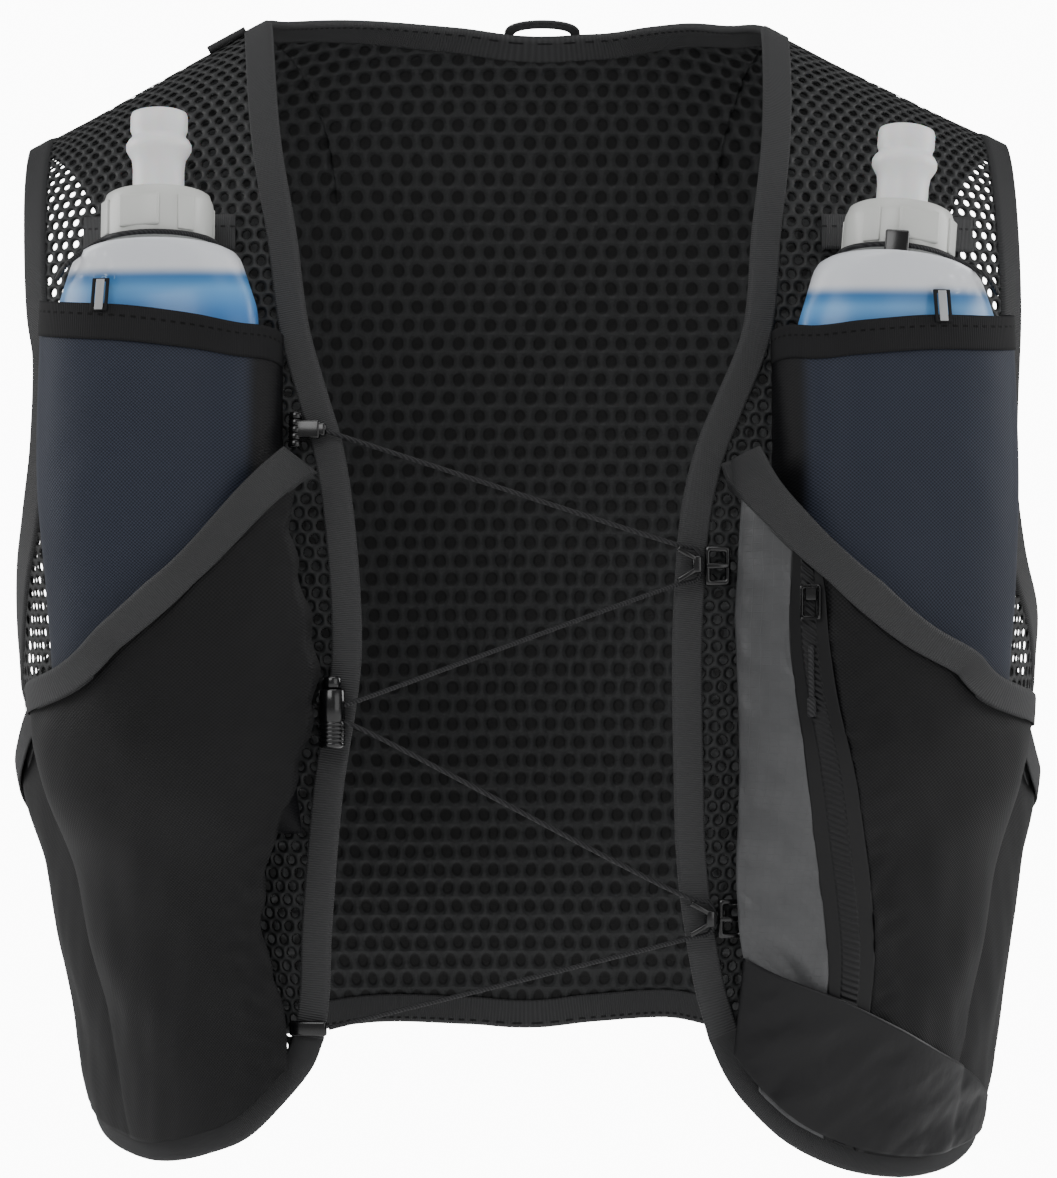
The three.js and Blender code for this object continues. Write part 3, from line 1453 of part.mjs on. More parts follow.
function addAnchor() {
  const frame = tapeFrame("right", ANCHOR);
  addFixed("lace_anchor", box(ANCHOR_BLOCK, 0, ANCHOR_BLOCK.z), "hardware", frame);
}

function fromFrame(frame, x, y, z) {
  return new THREE.Vector3(x, y, z).applyMatrix4(frame);
}

// Points of the one lacing cord, from the hook to the anchor.
function lacingPoints() {
  const hook = tapeFrame("right", HOOK);
  const upper = tapeFrame("left", GUIDES.upper);
  const lower = tapeFrame("left", GUIDES.lower);
  const lock = lockFrame();
  const anchor = tapeFrame("right", ANCHOR);
  const { first, second } = LOCK_HOLES;
  const { away, near, far, turn, spread, out } = LOCK_ROUTE;
  const turns = (frame) => GUIDE_ROUTE.map(({ x, y }) => fromFrame(frame, x, y, LACE_STANDOFF));
  return [
    fromFrame(hook, 7.4, -0.6, LACE_STANDOFF),
    ...turns(upper),
    fromFrame(lock, away, first + spread, 0),
    fromFrame(lock, near, first, 0),
    fromFrame(lock, far, first, 0),
    fromFrame(lock, turn, (first + second) / 2, out),
    fromFrame(lock, far, second, 0),
    fromFrame(lock, near, second, 0),
    fromFrame(lock, away, second - spread, 0),
    ...turns(lower),
    fromFrame(anchor, 8.4, 0.4, LACE_STANDOFF),
  ];
}

function addLacing() {
  const curve = new THREE.CatmullRomCurve3(lacingPoints(), false, "centripetal");
  add("lacing_cord", cordAlong(curve, LACE_RADIUS, 84), "cord");
}

// Zip slider and its cord pull.

function addZipParts() {
  const { width, height, holeWidth, holeHeight, wall, rise } = SLIDER_SIZES;
  const body = plate(outline(rectangle(width, height), [rectangle(holeWidth, holeHeight)]), wall, rise);
  addFixed("zip_slider", body, "hardware", lowerFrame("left", SLIDER));
  const strip = outline(rectangle(PULL_SIZES.width, PULL_SIZES.height));
  const pull = plate(strip, PULL_SIZES.wall, PULL_SIZES.rise);
  addFixed("zip_pull", pull, "cord", lowerFrame("left", PULL));
}

// Hanger loop over the collar and the tab on the right shoulder.

function addHanger() {
  const arch = (inset) => evenShares(8).map((share) => {
    const angle = Math.PI * share;
    return [-(HANGER.halfSpan - inset) * Math.cos(angle), (HANGER.height - inset) * Math.sin(angle) ** 0.6];
  });
  const points = [...arch(0), ...arch(HANGER.tape).reverse()];
  const frame = frameOn(tapeSurface, aim(torso, "left", HANGER, null, true));
  const standing = plate(outline(points), HANGER.wall, SEAM_GAP).translate(0, -HANGER.sunk, 0);
  addFixed("hanger_loop", standing, "tape", frame);
}

function addTab() {
  const ridgeSpot = (reach) => aim(torso, "right", { reach, drop: -0.02 }, null).girth;
  const columns = evenShares(2).map((share) => {
    const girth = lerp(ridgeSpot(TAB.from), ridgeSpot(TAB.to), share);
    return evenShares(3).map((up) => ({ girth, down: lerp(TAB.run, 1, up) }));
  });
  const from = TAPE_OVER + TAB.rise;
  add("shoulder_tab", clothSheet(torso, columns, from, from + TAB.wall), "tape");
}

const rightHem = addFront("right");
const leftHem = addFront("left");
addBack();
for (const side of ["right", "left"]) {
  addArmholeBinding(side);
  addBottlePocket(side);
  addFlask(side);
}
addLowerRight(rightHem);
addLowerLeft(leftHem);
addToggle();
addHook();
addCordLock();
addAnchor();
for (const level of ["upper", "lower"]) {
  addGuide(level);
  addBuckle(level);
}
addLacing();
addZipParts();
addHanger();
addTab();

export default vest;
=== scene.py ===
"""A running hydration vest in its worn form, with two soft flasks in its front pockets.

Lengths are worked out in millimetres on the form of a torso and turned into metres where
a mesh is made. Right and left are the wearer's, so the right side has negative X.
"""

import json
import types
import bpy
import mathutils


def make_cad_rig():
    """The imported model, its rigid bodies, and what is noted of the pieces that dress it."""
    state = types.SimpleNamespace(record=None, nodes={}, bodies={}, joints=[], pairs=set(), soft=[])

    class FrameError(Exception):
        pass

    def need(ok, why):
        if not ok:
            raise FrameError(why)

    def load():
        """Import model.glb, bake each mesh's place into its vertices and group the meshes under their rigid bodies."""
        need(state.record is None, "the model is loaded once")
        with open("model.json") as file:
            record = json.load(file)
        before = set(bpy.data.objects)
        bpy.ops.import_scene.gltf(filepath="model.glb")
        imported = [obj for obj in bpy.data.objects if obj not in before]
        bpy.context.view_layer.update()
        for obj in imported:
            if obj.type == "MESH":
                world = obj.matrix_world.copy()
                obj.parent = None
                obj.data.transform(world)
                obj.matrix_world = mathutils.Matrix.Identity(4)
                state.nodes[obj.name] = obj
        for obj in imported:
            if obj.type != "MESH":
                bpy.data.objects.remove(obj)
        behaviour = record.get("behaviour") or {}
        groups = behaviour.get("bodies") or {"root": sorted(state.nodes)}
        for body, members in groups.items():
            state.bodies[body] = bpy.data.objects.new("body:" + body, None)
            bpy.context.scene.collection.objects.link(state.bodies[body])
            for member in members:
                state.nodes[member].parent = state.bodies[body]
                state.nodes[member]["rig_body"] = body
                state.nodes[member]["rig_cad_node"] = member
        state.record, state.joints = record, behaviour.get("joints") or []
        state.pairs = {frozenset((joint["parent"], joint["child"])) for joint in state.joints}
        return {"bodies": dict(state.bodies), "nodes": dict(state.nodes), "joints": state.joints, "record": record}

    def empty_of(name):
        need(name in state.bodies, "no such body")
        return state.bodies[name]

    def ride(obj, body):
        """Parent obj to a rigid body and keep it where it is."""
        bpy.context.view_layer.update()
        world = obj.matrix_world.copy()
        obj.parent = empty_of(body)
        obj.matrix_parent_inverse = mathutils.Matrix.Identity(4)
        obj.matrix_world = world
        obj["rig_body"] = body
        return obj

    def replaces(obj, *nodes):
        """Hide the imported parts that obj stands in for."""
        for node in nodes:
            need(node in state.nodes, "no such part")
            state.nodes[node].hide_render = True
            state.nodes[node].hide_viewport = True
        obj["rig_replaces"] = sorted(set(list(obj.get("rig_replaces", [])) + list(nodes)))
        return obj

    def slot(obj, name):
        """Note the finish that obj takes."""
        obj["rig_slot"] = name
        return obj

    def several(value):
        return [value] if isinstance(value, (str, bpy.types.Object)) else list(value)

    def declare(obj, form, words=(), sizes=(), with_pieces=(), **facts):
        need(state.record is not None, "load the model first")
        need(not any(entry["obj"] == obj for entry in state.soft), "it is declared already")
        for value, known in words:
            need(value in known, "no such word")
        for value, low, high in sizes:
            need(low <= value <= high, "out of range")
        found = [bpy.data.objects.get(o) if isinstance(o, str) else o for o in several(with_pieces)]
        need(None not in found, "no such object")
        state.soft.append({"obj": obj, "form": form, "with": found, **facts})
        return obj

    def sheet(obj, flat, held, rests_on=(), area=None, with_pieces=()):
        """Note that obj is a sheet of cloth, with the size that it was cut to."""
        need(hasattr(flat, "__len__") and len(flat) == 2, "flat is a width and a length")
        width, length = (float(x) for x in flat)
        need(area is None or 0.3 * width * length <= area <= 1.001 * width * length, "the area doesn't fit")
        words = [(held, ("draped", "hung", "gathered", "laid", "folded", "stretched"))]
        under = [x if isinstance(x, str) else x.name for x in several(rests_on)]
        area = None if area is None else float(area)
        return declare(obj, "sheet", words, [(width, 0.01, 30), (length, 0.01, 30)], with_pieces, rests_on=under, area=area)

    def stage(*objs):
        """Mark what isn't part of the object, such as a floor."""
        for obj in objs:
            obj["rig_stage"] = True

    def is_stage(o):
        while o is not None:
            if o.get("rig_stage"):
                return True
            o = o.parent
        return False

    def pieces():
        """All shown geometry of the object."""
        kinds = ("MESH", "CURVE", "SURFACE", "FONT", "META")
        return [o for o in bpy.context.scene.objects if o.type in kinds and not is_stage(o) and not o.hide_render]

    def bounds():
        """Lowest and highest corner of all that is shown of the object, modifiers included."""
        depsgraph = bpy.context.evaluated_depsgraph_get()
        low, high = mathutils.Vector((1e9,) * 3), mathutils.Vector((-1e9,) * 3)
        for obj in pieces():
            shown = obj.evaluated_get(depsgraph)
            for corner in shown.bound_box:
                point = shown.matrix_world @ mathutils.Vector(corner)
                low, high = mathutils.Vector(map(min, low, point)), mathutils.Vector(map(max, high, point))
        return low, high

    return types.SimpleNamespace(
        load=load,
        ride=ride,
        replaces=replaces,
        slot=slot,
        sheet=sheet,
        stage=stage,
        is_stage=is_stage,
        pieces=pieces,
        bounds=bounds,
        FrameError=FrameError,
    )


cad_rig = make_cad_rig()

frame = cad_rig.load()

import json
import logging
import math
from bisect import bisect_right
from dataclasses import dataclass
from enum import Enum
from typing import Callable, Iterable, Optional, Sequence

import bmesh
import bpy
from mathutils import Matrix, Vector, noise

logger = logging.getLogger("vest")

MM = 0.001
VEST_HEIGHT = 446.0
HALF_WIDTH = 200.0
HALF_DEPTH = 110.0
SHOULDER_ROUNDING = 95.0
SECTION_POWER = 2.3
TAPE_WIDTH = 11.0
TAPE_UNDER = -0.7
TAPE_OVER = 2.8
TAPE_LAP = 3.0
POCKET_BASE = 3.4
LOWER_BASE = 3.2
POCKET_WALL = 1.0
LOWER_CLEARANCE = 5.5
BAND_HEIGHT = 12.0
FLASK_HALF_WIDTH = 37.0
FLASK_HALF_THICKNESS = 18.0
FLASK_STANDOFF = 24.0
FLASK_LENGTH = 186.0
CAP_RADIUS = 21.0
CAP_HEIGHT = 22.0
VALVE_RADIUS = 10.8
VALVE_HEIGHT = 32.0
INNER_SPREAD = 41.5
OUTER_SPREAD = 46.0
SEAM_TURN = 98.0
SIDE_SEAM_SHARE = 5 / 12
BACK_SEAM_SHARE = 0.8 * SIDE_SEAM_SHARE
NET_ROOM = 70.0
NET_LENGTH = 430.0
FLASK_ARC_FALL = 160.0
# Share of the back's top edge that each shoulder takes.
SHOULDER_SHARE = 0.22
# Run below the shoulder line at which the two halves of a shoulder meet.
SHOULDER_GAP = 0.2
# Shares round a folded tape at which its fold starts and ends.
FOLD_START = 0.4
FOLD_END = 0.6
# Narrowest span of a sheet, in metres.
LEAST_SPAN = 0.011
# Height of the picture's centre and size of one of its elements, in millimetres.
PIXEL = 0.38
PICTURE = (1057, 1178)
PICTURE_CENTRE = -(589 - 60) * PIXEL

Spot = tuple[float, float]
Offset = Callable[[Spot], float]
Edge = Callable[[float], Spot]
Triple = tuple[float, float, float]


class Side(Enum):
    """Side of the wearer."""

    RIGHT = "right"
    LEFT = "left"

    @property
    def sign(self) -> int:
        """Sign of X on this side."""
        return -1 if self is Side.RIGHT else 1

    def girth(self, turn: float) -> float:
        """Angle round the torso of a turn from the front centre towards this side."""
        return 360 - turn if self is Side.RIGHT else turn

    @classmethod
    def of(cls, girth: float) -> "Side":
        """Side on which an angle round the torso lies."""
        return cls.RIGHT if girth > 180 else cls.LEFT


class Table:
    """Rows of named columns, read at places along the first column."""

    def __init__(self, columns: str, rows: Sequence[Sequence[float]]) -> None:
        self.names = columns.split()
        self.rows = rows
        self.keys = [row[0] for row in rows]

    def __iter__(self):
        return iter(self.rows)

    def smooth(self, at: float, column: str) -> float:
        """Value of a column at a place, with smooth joins between the rows."""
        index = self.names.index(column)
        if at <= self.keys[0]:
            return self.rows[0][index]
        if at >= self.keys[-1]:
            return self.rows[-1][index]
        row = bisect_right(self.keys, at) - 1
        span = self.keys[row + 1] - self.keys[row]
        t = (at - self.keys[row]) / span
        start = self._slope(row, index) * span
        end = self._slope(row + 1, index) * span
        square, cube = t * t, t * t * t
        away = (cube - 2 * square + t) * start + (cube - square) * end
        low, high = self.rows[row][index], self.rows[row + 1][index]
        return (2 * cube - 3 * square + 1) * low + (3 * square - 2 * cube) * high + away

    def _slope(self, row: int, index: int) -> float:
        """Slope of a column at a row."""
        before = self.rows[max(row - 1, 0)]
        after = self.rows[min(row + 1, len(self.rows) - 1)]
        return (after[index] - before[index]) / (after[0] - before[0])


TORSO = Table(
    "drop right left front back",
    (
        (-0.067, 1.015, 0.99, 0.69, 0.71),
        (0.135, 1.015, 0.99, 0.78, 0.87),
        (0.247, 1.015, 0.99, 0.89, 0.96),
        (0.359, 1.01, 0.99, 0.97, 0.98),
        (0.448, 0.985, 0.98, 1.0, 0.945),
        (0.504, 0.972, 0.968, 1.0, 0.91),
        (0.561, 0.965, 0.962, 0.99, 0.87),
        (0.61, 0.957, 0.957, 0.98, 0.845),
        (0.679, 0.918, 0.935, 0.965, 0.83),
        (0.753, 0.895, 0.92, 0.945, 0.835),
        (0.816, 0.86, 0.895, 0.935, 0.86),
        (0.883, 0.835, 0.868, 0.93, 0.89),
        (0.964, 0.79, 0.84, 0.91, 0.91),
    ),
)
RIDGE = {
    Side.RIGHT: Table(
        "reach drop",
        ((0, -0.1), (0.14, -0.098), (0.315, -0.078), (0.5, -0.038), (0.914, 0.064), (1.2, 0.134)),
    ),
    Side.LEFT: Table(
        "reach drop",
        ((0, -0.1), (0.14, -0.098), (0.3, -0.076), (0.452, -0.033), (0.872, 0.06), (1.2, 0.133)),
    ),
}
# Front opening, as drop and reach, from the shoulder down to the hem's corner.
FRONT_EDGE = {
    Side.RIGHT: (
        (-0.038, 0.502), (0.064, 0.473), (0.151, 0.439), (0.23, 0.414), (0.29, 0.376),
        (0.329, 0.35), (0.379, 0.331), (0.475, 0.314), (0.521, 0.316), (0.588, 0.338),
        (0.68, 0.361), (0.734, 0.37), (0.788, 0.374), (0.83, 0.386),
    ),
    Side.LEFT: (
        (-0.033, 0.452), (0.064, 0.445), (0.151, 0.422), (0.23, 0.405), (0.29, 0.353),
        (0.329, 0.317), (0.379, 0.289), (0.452, 0.274), (0.521, 0.27), (0.625, 0.274),
        (0.68, 0.279), (0.734, 0.293), (0.788, 0.314), (0.83, 0.34),
    ),
}
# Hem of each front, as drop and turn, from its corner to the side seam.
FRONT_HEM = {
    Side.RIGHT: (
        (0.83, 23.6), (0.855, 25.6), (0.88, 29.5), (0.912, 36.5), (0.929, 45.7),
        (0.937, 57), (0.93, 70), (0.908, 88), (0.892, 98),
    ),
    Side.LEFT: (
        (0.83, 19.2), (0.862, 21.9), (0.888, 25.4), (0.916, 31), (0.938, 39.5),
        (0.95, 52.5), (0.947, 65), (0.928, 82), (0.9, 98),
    ),
}
# Hem of the back, as turn and drop, from the left side seam to the right one.
BACK_HEM = (
    (98.6, 0.898), (114, 0.872), (132, 0.852), (155, 0.845), (180, 0.843), (205, 0.843),
    (228, 0.85), (246, 0.866), (261.4, 0.89),
)
# Armholes, as drop and reach down the front, then drop and turn along the floor and up the back.
ARMHOLE_FRONT = {
    Side.RIGHT: (
        (0.064, 0.914), (0.119, 0.922), (0.208, 0.914), (0.247, 0.9), (0.307, 0.902),
        (0.354, 0.912), (0.403, 0.93), (0.443, 0.948),
    ),
    Side.LEFT: (
        (0.06, 0.872), (0.142, 0.893), (0.191, 0.897), (0.222, 0.897), (0.307, 0.888),
        (0.358, 0.888), (0.396, 0.897), (0.445, 0.922),
    ),
}
ARMHOLE_FLOOR = ((0.498, 80.5), (0.536, 88), (0.551, 93.5), (0.555, 98))
ARMHOLE_BACK = (
    (0.555, 98), (0.551, 102.5), (0.538, 109), (0.505, 117), (0.437, 125), (0.359, 131),
    (0.269, 134), (0.179, 134), (0.115, 131),
)
# Top edge of the back, as reach and drop, from the right shoulder to the left one.
COLLAR_EDGE = (
    (-0.5, -0.038), (-0.458, -0.041), (-0.315, -0.046), (-0.167, -0.043), (-0.048, -0.037),
    (0.027, -0.035), (0.127, -0.037), (0.237, -0.042), (0.346, -0.042), (0.39, -0.039),
    (0.452, -0.033),
)
POCKET_TOP = {
    Side.RIGHT: Table(
        "across drop",
        ((0, 0.211), (0.1, 0.219), (0.25, 0.2255), (0.5, 0.2315),
         (0.75, 0.2395), (0.9, 0.2435), (1, 0.239)),
    ),
    Side.LEFT: Table(
        "across drop",
        ((0, 0.222), (0.1, 0.2305), (0.25, 0.2355), (0.5, 0.2385),
         (0.75, 0.244), (0.9, 0.2455), (1, 0.237)),
    ),
}
POCKET_FOOT = 0.655
# Height below the shoulders at which every sheet's rows of holes start.
LEVEL = 150.0
# Slanting tapes, as reach and drop, from the front opening to the side.
SLANT_EDGE = {
    Side.RIGHT: (
        (0.454, 0.341), (0.522, 0.369), (0.661, 0.431), (0.79, 0.475), (0.885, 0.513),
        (0.94, 0.546), (0.975, 0.585),
    ),
    Side.LEFT: (
        (0.43, 0.339), (0.465, 0.368), (0.515, 0.394), (0.574, 0.42), (0.646, 0.446),
        (0.75, 0.478), (0.828, 0.497), (0.885, 0.521), (0.935, 0.555), (0.97, 0.595),
    ),
}
SLANT_END = (0.618, 97.5)
# Inner edges of the lower pockets, as drop and reach.
LOWER_INNER = {
    Side.RIGHT: (
        (0.379, 0.436), (0.41, 0.442), (0.445, 0.424), (0.475, 0.41), (0.51, 0.396),
        (0.56, 0.408), (0.623, 0.445), (0.664, 0.479), (0.734, 0.496), (0.78, 0.469),
        (0.81, 0.462),
    ),
    Side.LEFT: (
        (0.395, 0.4), (0.43, 0.393), (0.47, 0.388), (0.507, 0.39), (0.555, 0.393),
        (0.634, 0.393), (0.703, 0.39), (0.751, 0.399), (0.79, 0.42), (0.83, 0.445),
    ),
}
RIPSTOP_SEAM = (
    (0.43, 0.49), (0.479, 0.485), (0.544, 0.5), (0.613, 0.521), (0.703, 0.547), (0.76, 0.56),
    (0.83, 0.585),
)
ZIP_SEAM = (
    (0.45, 0.545), (0.5, 0.56), (0.56, 0.585), (0.62, 0.615), (0.69, 0.638), (0.77, 0.648),
    (0.83, 0.65),
)
OVERLAY_EDGE = (
    (0.4, 0.758), (0.469, 0.773), (0.568, 0.79), (0.69, 0.817), (0.773, 0.84), (0.835, 0.862),
    (0.872, 0.884),
)
BOTTLE_SWELL = Table("drop share", ((0.15, 1), (0.56, 1), (0.605, 0.78), (0.64, 0.3), (0.66, 0)))
LOWER_SWELL = Table(
    "drop share",
    ((0.3, 1.02), (0.56, 1.02), (0.605, 0.9), (0.67, 0.62), (0.76, 0.36), (0.86, 0.16), (0.96, 0.06)),
)
FLASK_SECTIONS = Table(
    "rise width thickness",
    (
        (0, 0.78, 0.1), (0.02, 0.9, 0.38), (0.07, 0.98, 0.74), (0.16, 1, 0.95), (0.45, 1, 1),
        (0.75, 1, 1), (0.875, 0.99, 1), (0.935, 0.88, 1.02), (0.975, 0.77, 1.04), (1, 0.55, 1),
    ),
)
# Place of each flask: reach, drop of its neck and lean in degrees.
FLASK_PLACE = {Side.RIGHT: (0.7, 0.178, 0.0), Side.LEFT: (0.698, 0.191, 5.0)}
CAP_OUTLINE = (
    (0.0, 0.0), (0.9, 0.0), (0.94, 0.02), (0.98, 0.1), (1.0, 0.2), (1.0, 0.72), (0.985, 0.82),
    (0.95, 0.9), (0.93, 0.96), (0.88, 0.99), (0.8, 1.0), (0.0, 1.0),
)
VALVE_OUTLINE = (
    (0.0, 0.0), (0.98, 0.0), (0.94, 0.04), (0.9, 0.1), (0.9, 0.3), (0.94, 0.42), (1.08, 0.5),
    (1.14, 0.54), (1.14, 0.6), (1.06, 0.65), (0.96, 0.68), (0.93, 0.72), (1.0, 0.78), (1.0, 0.94),
    (0.96, 0.985), (0.86, 1.0), (0.7, 0.99), (0.0, 0.97),
)


def lerp(low: float, high: float, share: float) -> float:
    """Value at a share of the way between two."""
    return low + (high - low) * share


def between(low: Spot, high: Spot, share: float) -> Spot:
    """Spot at a share of the straight way between two."""
    return lerp(low[0], high[0], share), lerp(low[1], high[1], share)


def ease(low: float, high: float, value: float) -> float:
    """Smooth step from 0 at low to 1 at high."""
    t = min(max((value - low) / (high - low), 0.0), 1.0)
    return t * t * (3 - 2 * t)


def powered(value: float) -> float:
    """Superellipse power of a sine or cosine."""
    return math.copysign(abs(value) ** (2 / SECTION_POWER), value)


class Form:
    """The chest of the torso: spots are an angle round it and a fall below the shoulders."""

    step = 0.4
    lowest_down = -math.inf

    def half_width(self, side: Side, fall: float) -> float:
        """Half width of the torso at a fall."""
        return HALF_WIDTH * TORSO.smooth(fall / VEST_HEIGHT, side.value)

    def chest_point(self, girth: float, fall: float) -> Vector:
        """Point of the upright chest at an angle and a fall."""
        side = Side.of(girth)
        turn = math.radians(360 - girth if girth > 180 else girth)
        forward = powered(math.cos(turn))
        depth = HALF_DEPTH * TORSO.smooth(fall / VEST_HEIGHT, "front" if forward > 0 else "back")
        across = side.sign * self.half_width(side, fall) * powered(math.sin(turn))
        return Vector((across, -depth * forward, -fall))

    def point(self, spot: Spot) -> Vector:
        """Point of the form at a spot."""
        return self.chest_point(*spot)

    def down_at(self, girth: float, fall: float) -> float:
        """Distance down the form at a fall."""
        return fall

    def along_girth(self, spot: Spot) -> Vector:
        """Change of place for one degree round the form."""
        after = self.point((spot[0] + self.step, spot[1]))
        return (after - self.point((spot[0] - self.step, spot[1]))) * (0.5 / self.step)

    def along_down(self, spot: Spot) -> Vector:
        """Unit direction down the form."""
        above = self.point((spot[0], max(spot[1] - self.step, self.lowest_down + 0.01)))
        return (self.point((spot[0], spot[1] + self.step)) - above).normalized()

    def outward(self, spot: Spot) -> Vector:
        """Unit direction out of the form."""
        return self.along_down(spot).cross(self.along_girth(spot)).normalized()

    def skin(self, spot: Spot, offset: float) -> Vector:
        """Point at an offset out of the form."""
        return self.point(spot) + self.outward(spot) * offset

    def slide(self, spot: Spot, direction: Vector, distance: float) -> Spot:
        """Spot reached by going a distance along the cloth in a direction."""
        across, down = self.along_girth(spot), self.along_down(spot)
        aa, ad = across.dot(across), across.dot(down)
        want_a, want_d = across.dot(direction) * distance, down.dot(direction) * distance
        det = aa - ad * ad
        girth = spot[0] + (want_a - ad * want_d) / det
        return girth, max(spot[1] + (aa * want_d - ad * want_a) / det, self.lowest_down)

    def aim(
        self, side: Side, reach: float, drop: float, offset: Optional[Offset] = None,
        behind: bool = False,
    ) -> Spot:
        """Spot whose place in the front view, at an offset from the form, is a reach and a drop."""
        fall = drop * VEST_HEIGHT
        target = across = reach * HALF_WIDTH
        spot = (0.0, 0.0)
        for _ in range(6):
            share = min(max(across, 0.01) / self.half_width(side, fall), 1)
            turn = math.degrees(math.asin(share ** (SECTION_POWER / 2)))
            girth = side.girth(180 - turn if behind else turn)
            spot = (girth, self.down_at(girth, fall))
            if offset is None:
                break
            across += target - abs(self.skin(spot, offset(spot)).x)
        return spot

    def beside(self, path: Sequence[Spot], distance: float, ring: bool = False) -> list[Spot]:
        """Line beside a path at a distance along the cloth; the sign picks the side."""
        found = []
        last = len(path) - 1
        for index, spot in enumerate(path):
            before = path[index - 1] if index or ring else path[0]
            after = path[(index + 1) % len(path)] if index < last or ring else path[last]
            along = self.point(after) - self.point(before)
            found.append(self.slide(spot, self.outward(spot).cross(along).normalized(), distance))
        return found


class Torso(Form):
    """Chest with rounded shoulders: a spot is an angle and a run down from the shoulder line."""

    lowest_down = 0.0

    def ridge(self, girth: float) -> float:
        """Height of the shoulder line at an angle."""
        side = Side.of(girth)
        turn = math.radians(360 - girth if girth > 180 else girth)
        across = self.half_width(side, 0) * abs(powered(math.sin(turn)))
        return -VEST_HEIGHT * RIDGE[side].smooth(across / HALF_WIDTH, "drop")

    def point(self, spot: Spot) -> Vector:
        """Point of the form at a spot."""
        girth, run = spot
        arc = min(run / SHOULDER_ROUNDING, math.pi / 2)
        straight = run - arc * SHOULDER_ROUNDING
        height = self.ridge(girth) - SHOULDER_ROUNDING * (1 - math.cos(arc)) - straight
        place = self.chest_point(girth, -height)
        place.y *= math.sin(arc)
        return place

    def down_at(self, girth: float, fall: float) -> float:
        """Run of cloth from the shoulder line down to a fall."""
        depth = self.ridge(girth) + fall
        if depth <= 0:
            return 0.0
        if depth < SHOULDER_ROUNDING:
            return SHOULDER_ROUNDING * math.acos(1 - depth / SHOULDER_ROUNDING)
        return SHOULDER_ROUNDING * (math.pi / 2 - 1) + depth


CHEST = Form()
TORSO_FORM = Torso()


def curve(knots: Sequence[Vector], steps: Callable[[float], int]) -> list[Vector]:
    """Points along a smooth centripetal curve through given ones.

    Args:
        knots: points that the curve passes through.
        steps: number of points for a stretch of a given length.

    Returns:
        The points, from the first knot to the last.
    """
    dense: list[Vector] = []
    last = len(knots) - 1
    for index in range(last):
        p1, p2 = knots[index], knots[index + 1]
        p0 = knots[index - 1] if index else 2 * p1 - p2
        p3 = knots[index + 2] if index + 2 <= last else 2 * p2 - p1
        d0, d1, d2 = ((b - a).length ** 0.5 or 1.0 for a, b in ((p0, p1), (p1, p2), (p2, p3)))
        m1 = ((p1 - p0) / d0 - (p2 - p0) / (d0 + d1) + (p2 - p1) / d1) * d1
        m2 = ((p2 - p1) / d1 - (p3 - p1) / (d1 + d2) + (p3 - p2) / d2) * d1
        count = steps((p2 - p1).length)
        for part in range(count):
            t = part / count
            square, cube = t * t, t * t * t
            place = (2 * cube - 3 * square + 1) * p1 + (cube - 2 * square + t) * m1
            dense.append(place + (3 * square - 2 * cube) * p2 + (cube - square) * m2)
    dense.append(knots[last].copy())
    return dense


def smooth_path(knots: Sequence[Spot], count: int) -> list[Spot]:
    """Evenly spaced spots along a smooth curve through given ones."""
    line = Line([tuple(place) for place in curve([Vector(knot) for knot in knots], lambda _: 24)])
    return [line(index / count) for index in range(count + 1)]


class Line:
    """A path of spots that is read at shares of its length."""

    def __init__(self, spots: Sequence[Spot]) -> None:
        self.spots = list(spots)
        self.lengths = [0.0]
        for before, after in zip(self.spots, self.spots[1:]):
            step = math.hypot(after[0] - before[0], after[1] - before[1])
            self.lengths.append(self.lengths[-1] + step)

    def __call__(self, share: float) -> Spot:
        at = min(max(share, 0.0), 1.0) * self.lengths[-1]
        index = min(max(bisect_right(self.lengths, at) - 1, 0), len(self.spots) - 2)
        span = self.lengths[index + 1] - self.lengths[index] or 1.0
        return between(self.spots[index], self.spots[index + 1], (at - self.lengths[index]) / span)


def down_at_girth(line: Sequence[Spot], girth: float) -> Spot:
    """Spot of a line at an angle round the torso."""
    rows = sorted(line)
    keys = [row[0] for row in rows]
    index = min(max(bisect_right(keys, girth) - 1, 0), len(rows) - 2)
    span = keys[index + 1] - keys[index] or 1.0
    share = (girth - keys[index]) / span
    return girth, lerp(rows[index][1], rows[index + 1][1], share)


def coons(right: Edge, left: Edge, bottom: Edge, top: Edge) -> Callable[[float, float], Spot]:
    """Spots between four edges that share their corners, by shares across and up."""
    corners = right(0), left(0), right(1), left(1)

    def spot(across: float, up: float) -> Spot:
        sides = between(right(up), left(up), across)
        ends = between(bottom(across), top(across), up)
        low = between(corners[0], corners[1], across)
        high = between(corners[2], corners[3], across)
        inner = between(low, high, up)
        return sides[0] + ends[0] - inner[0], sides[1] + ends[1] - inner[1]

    return spot


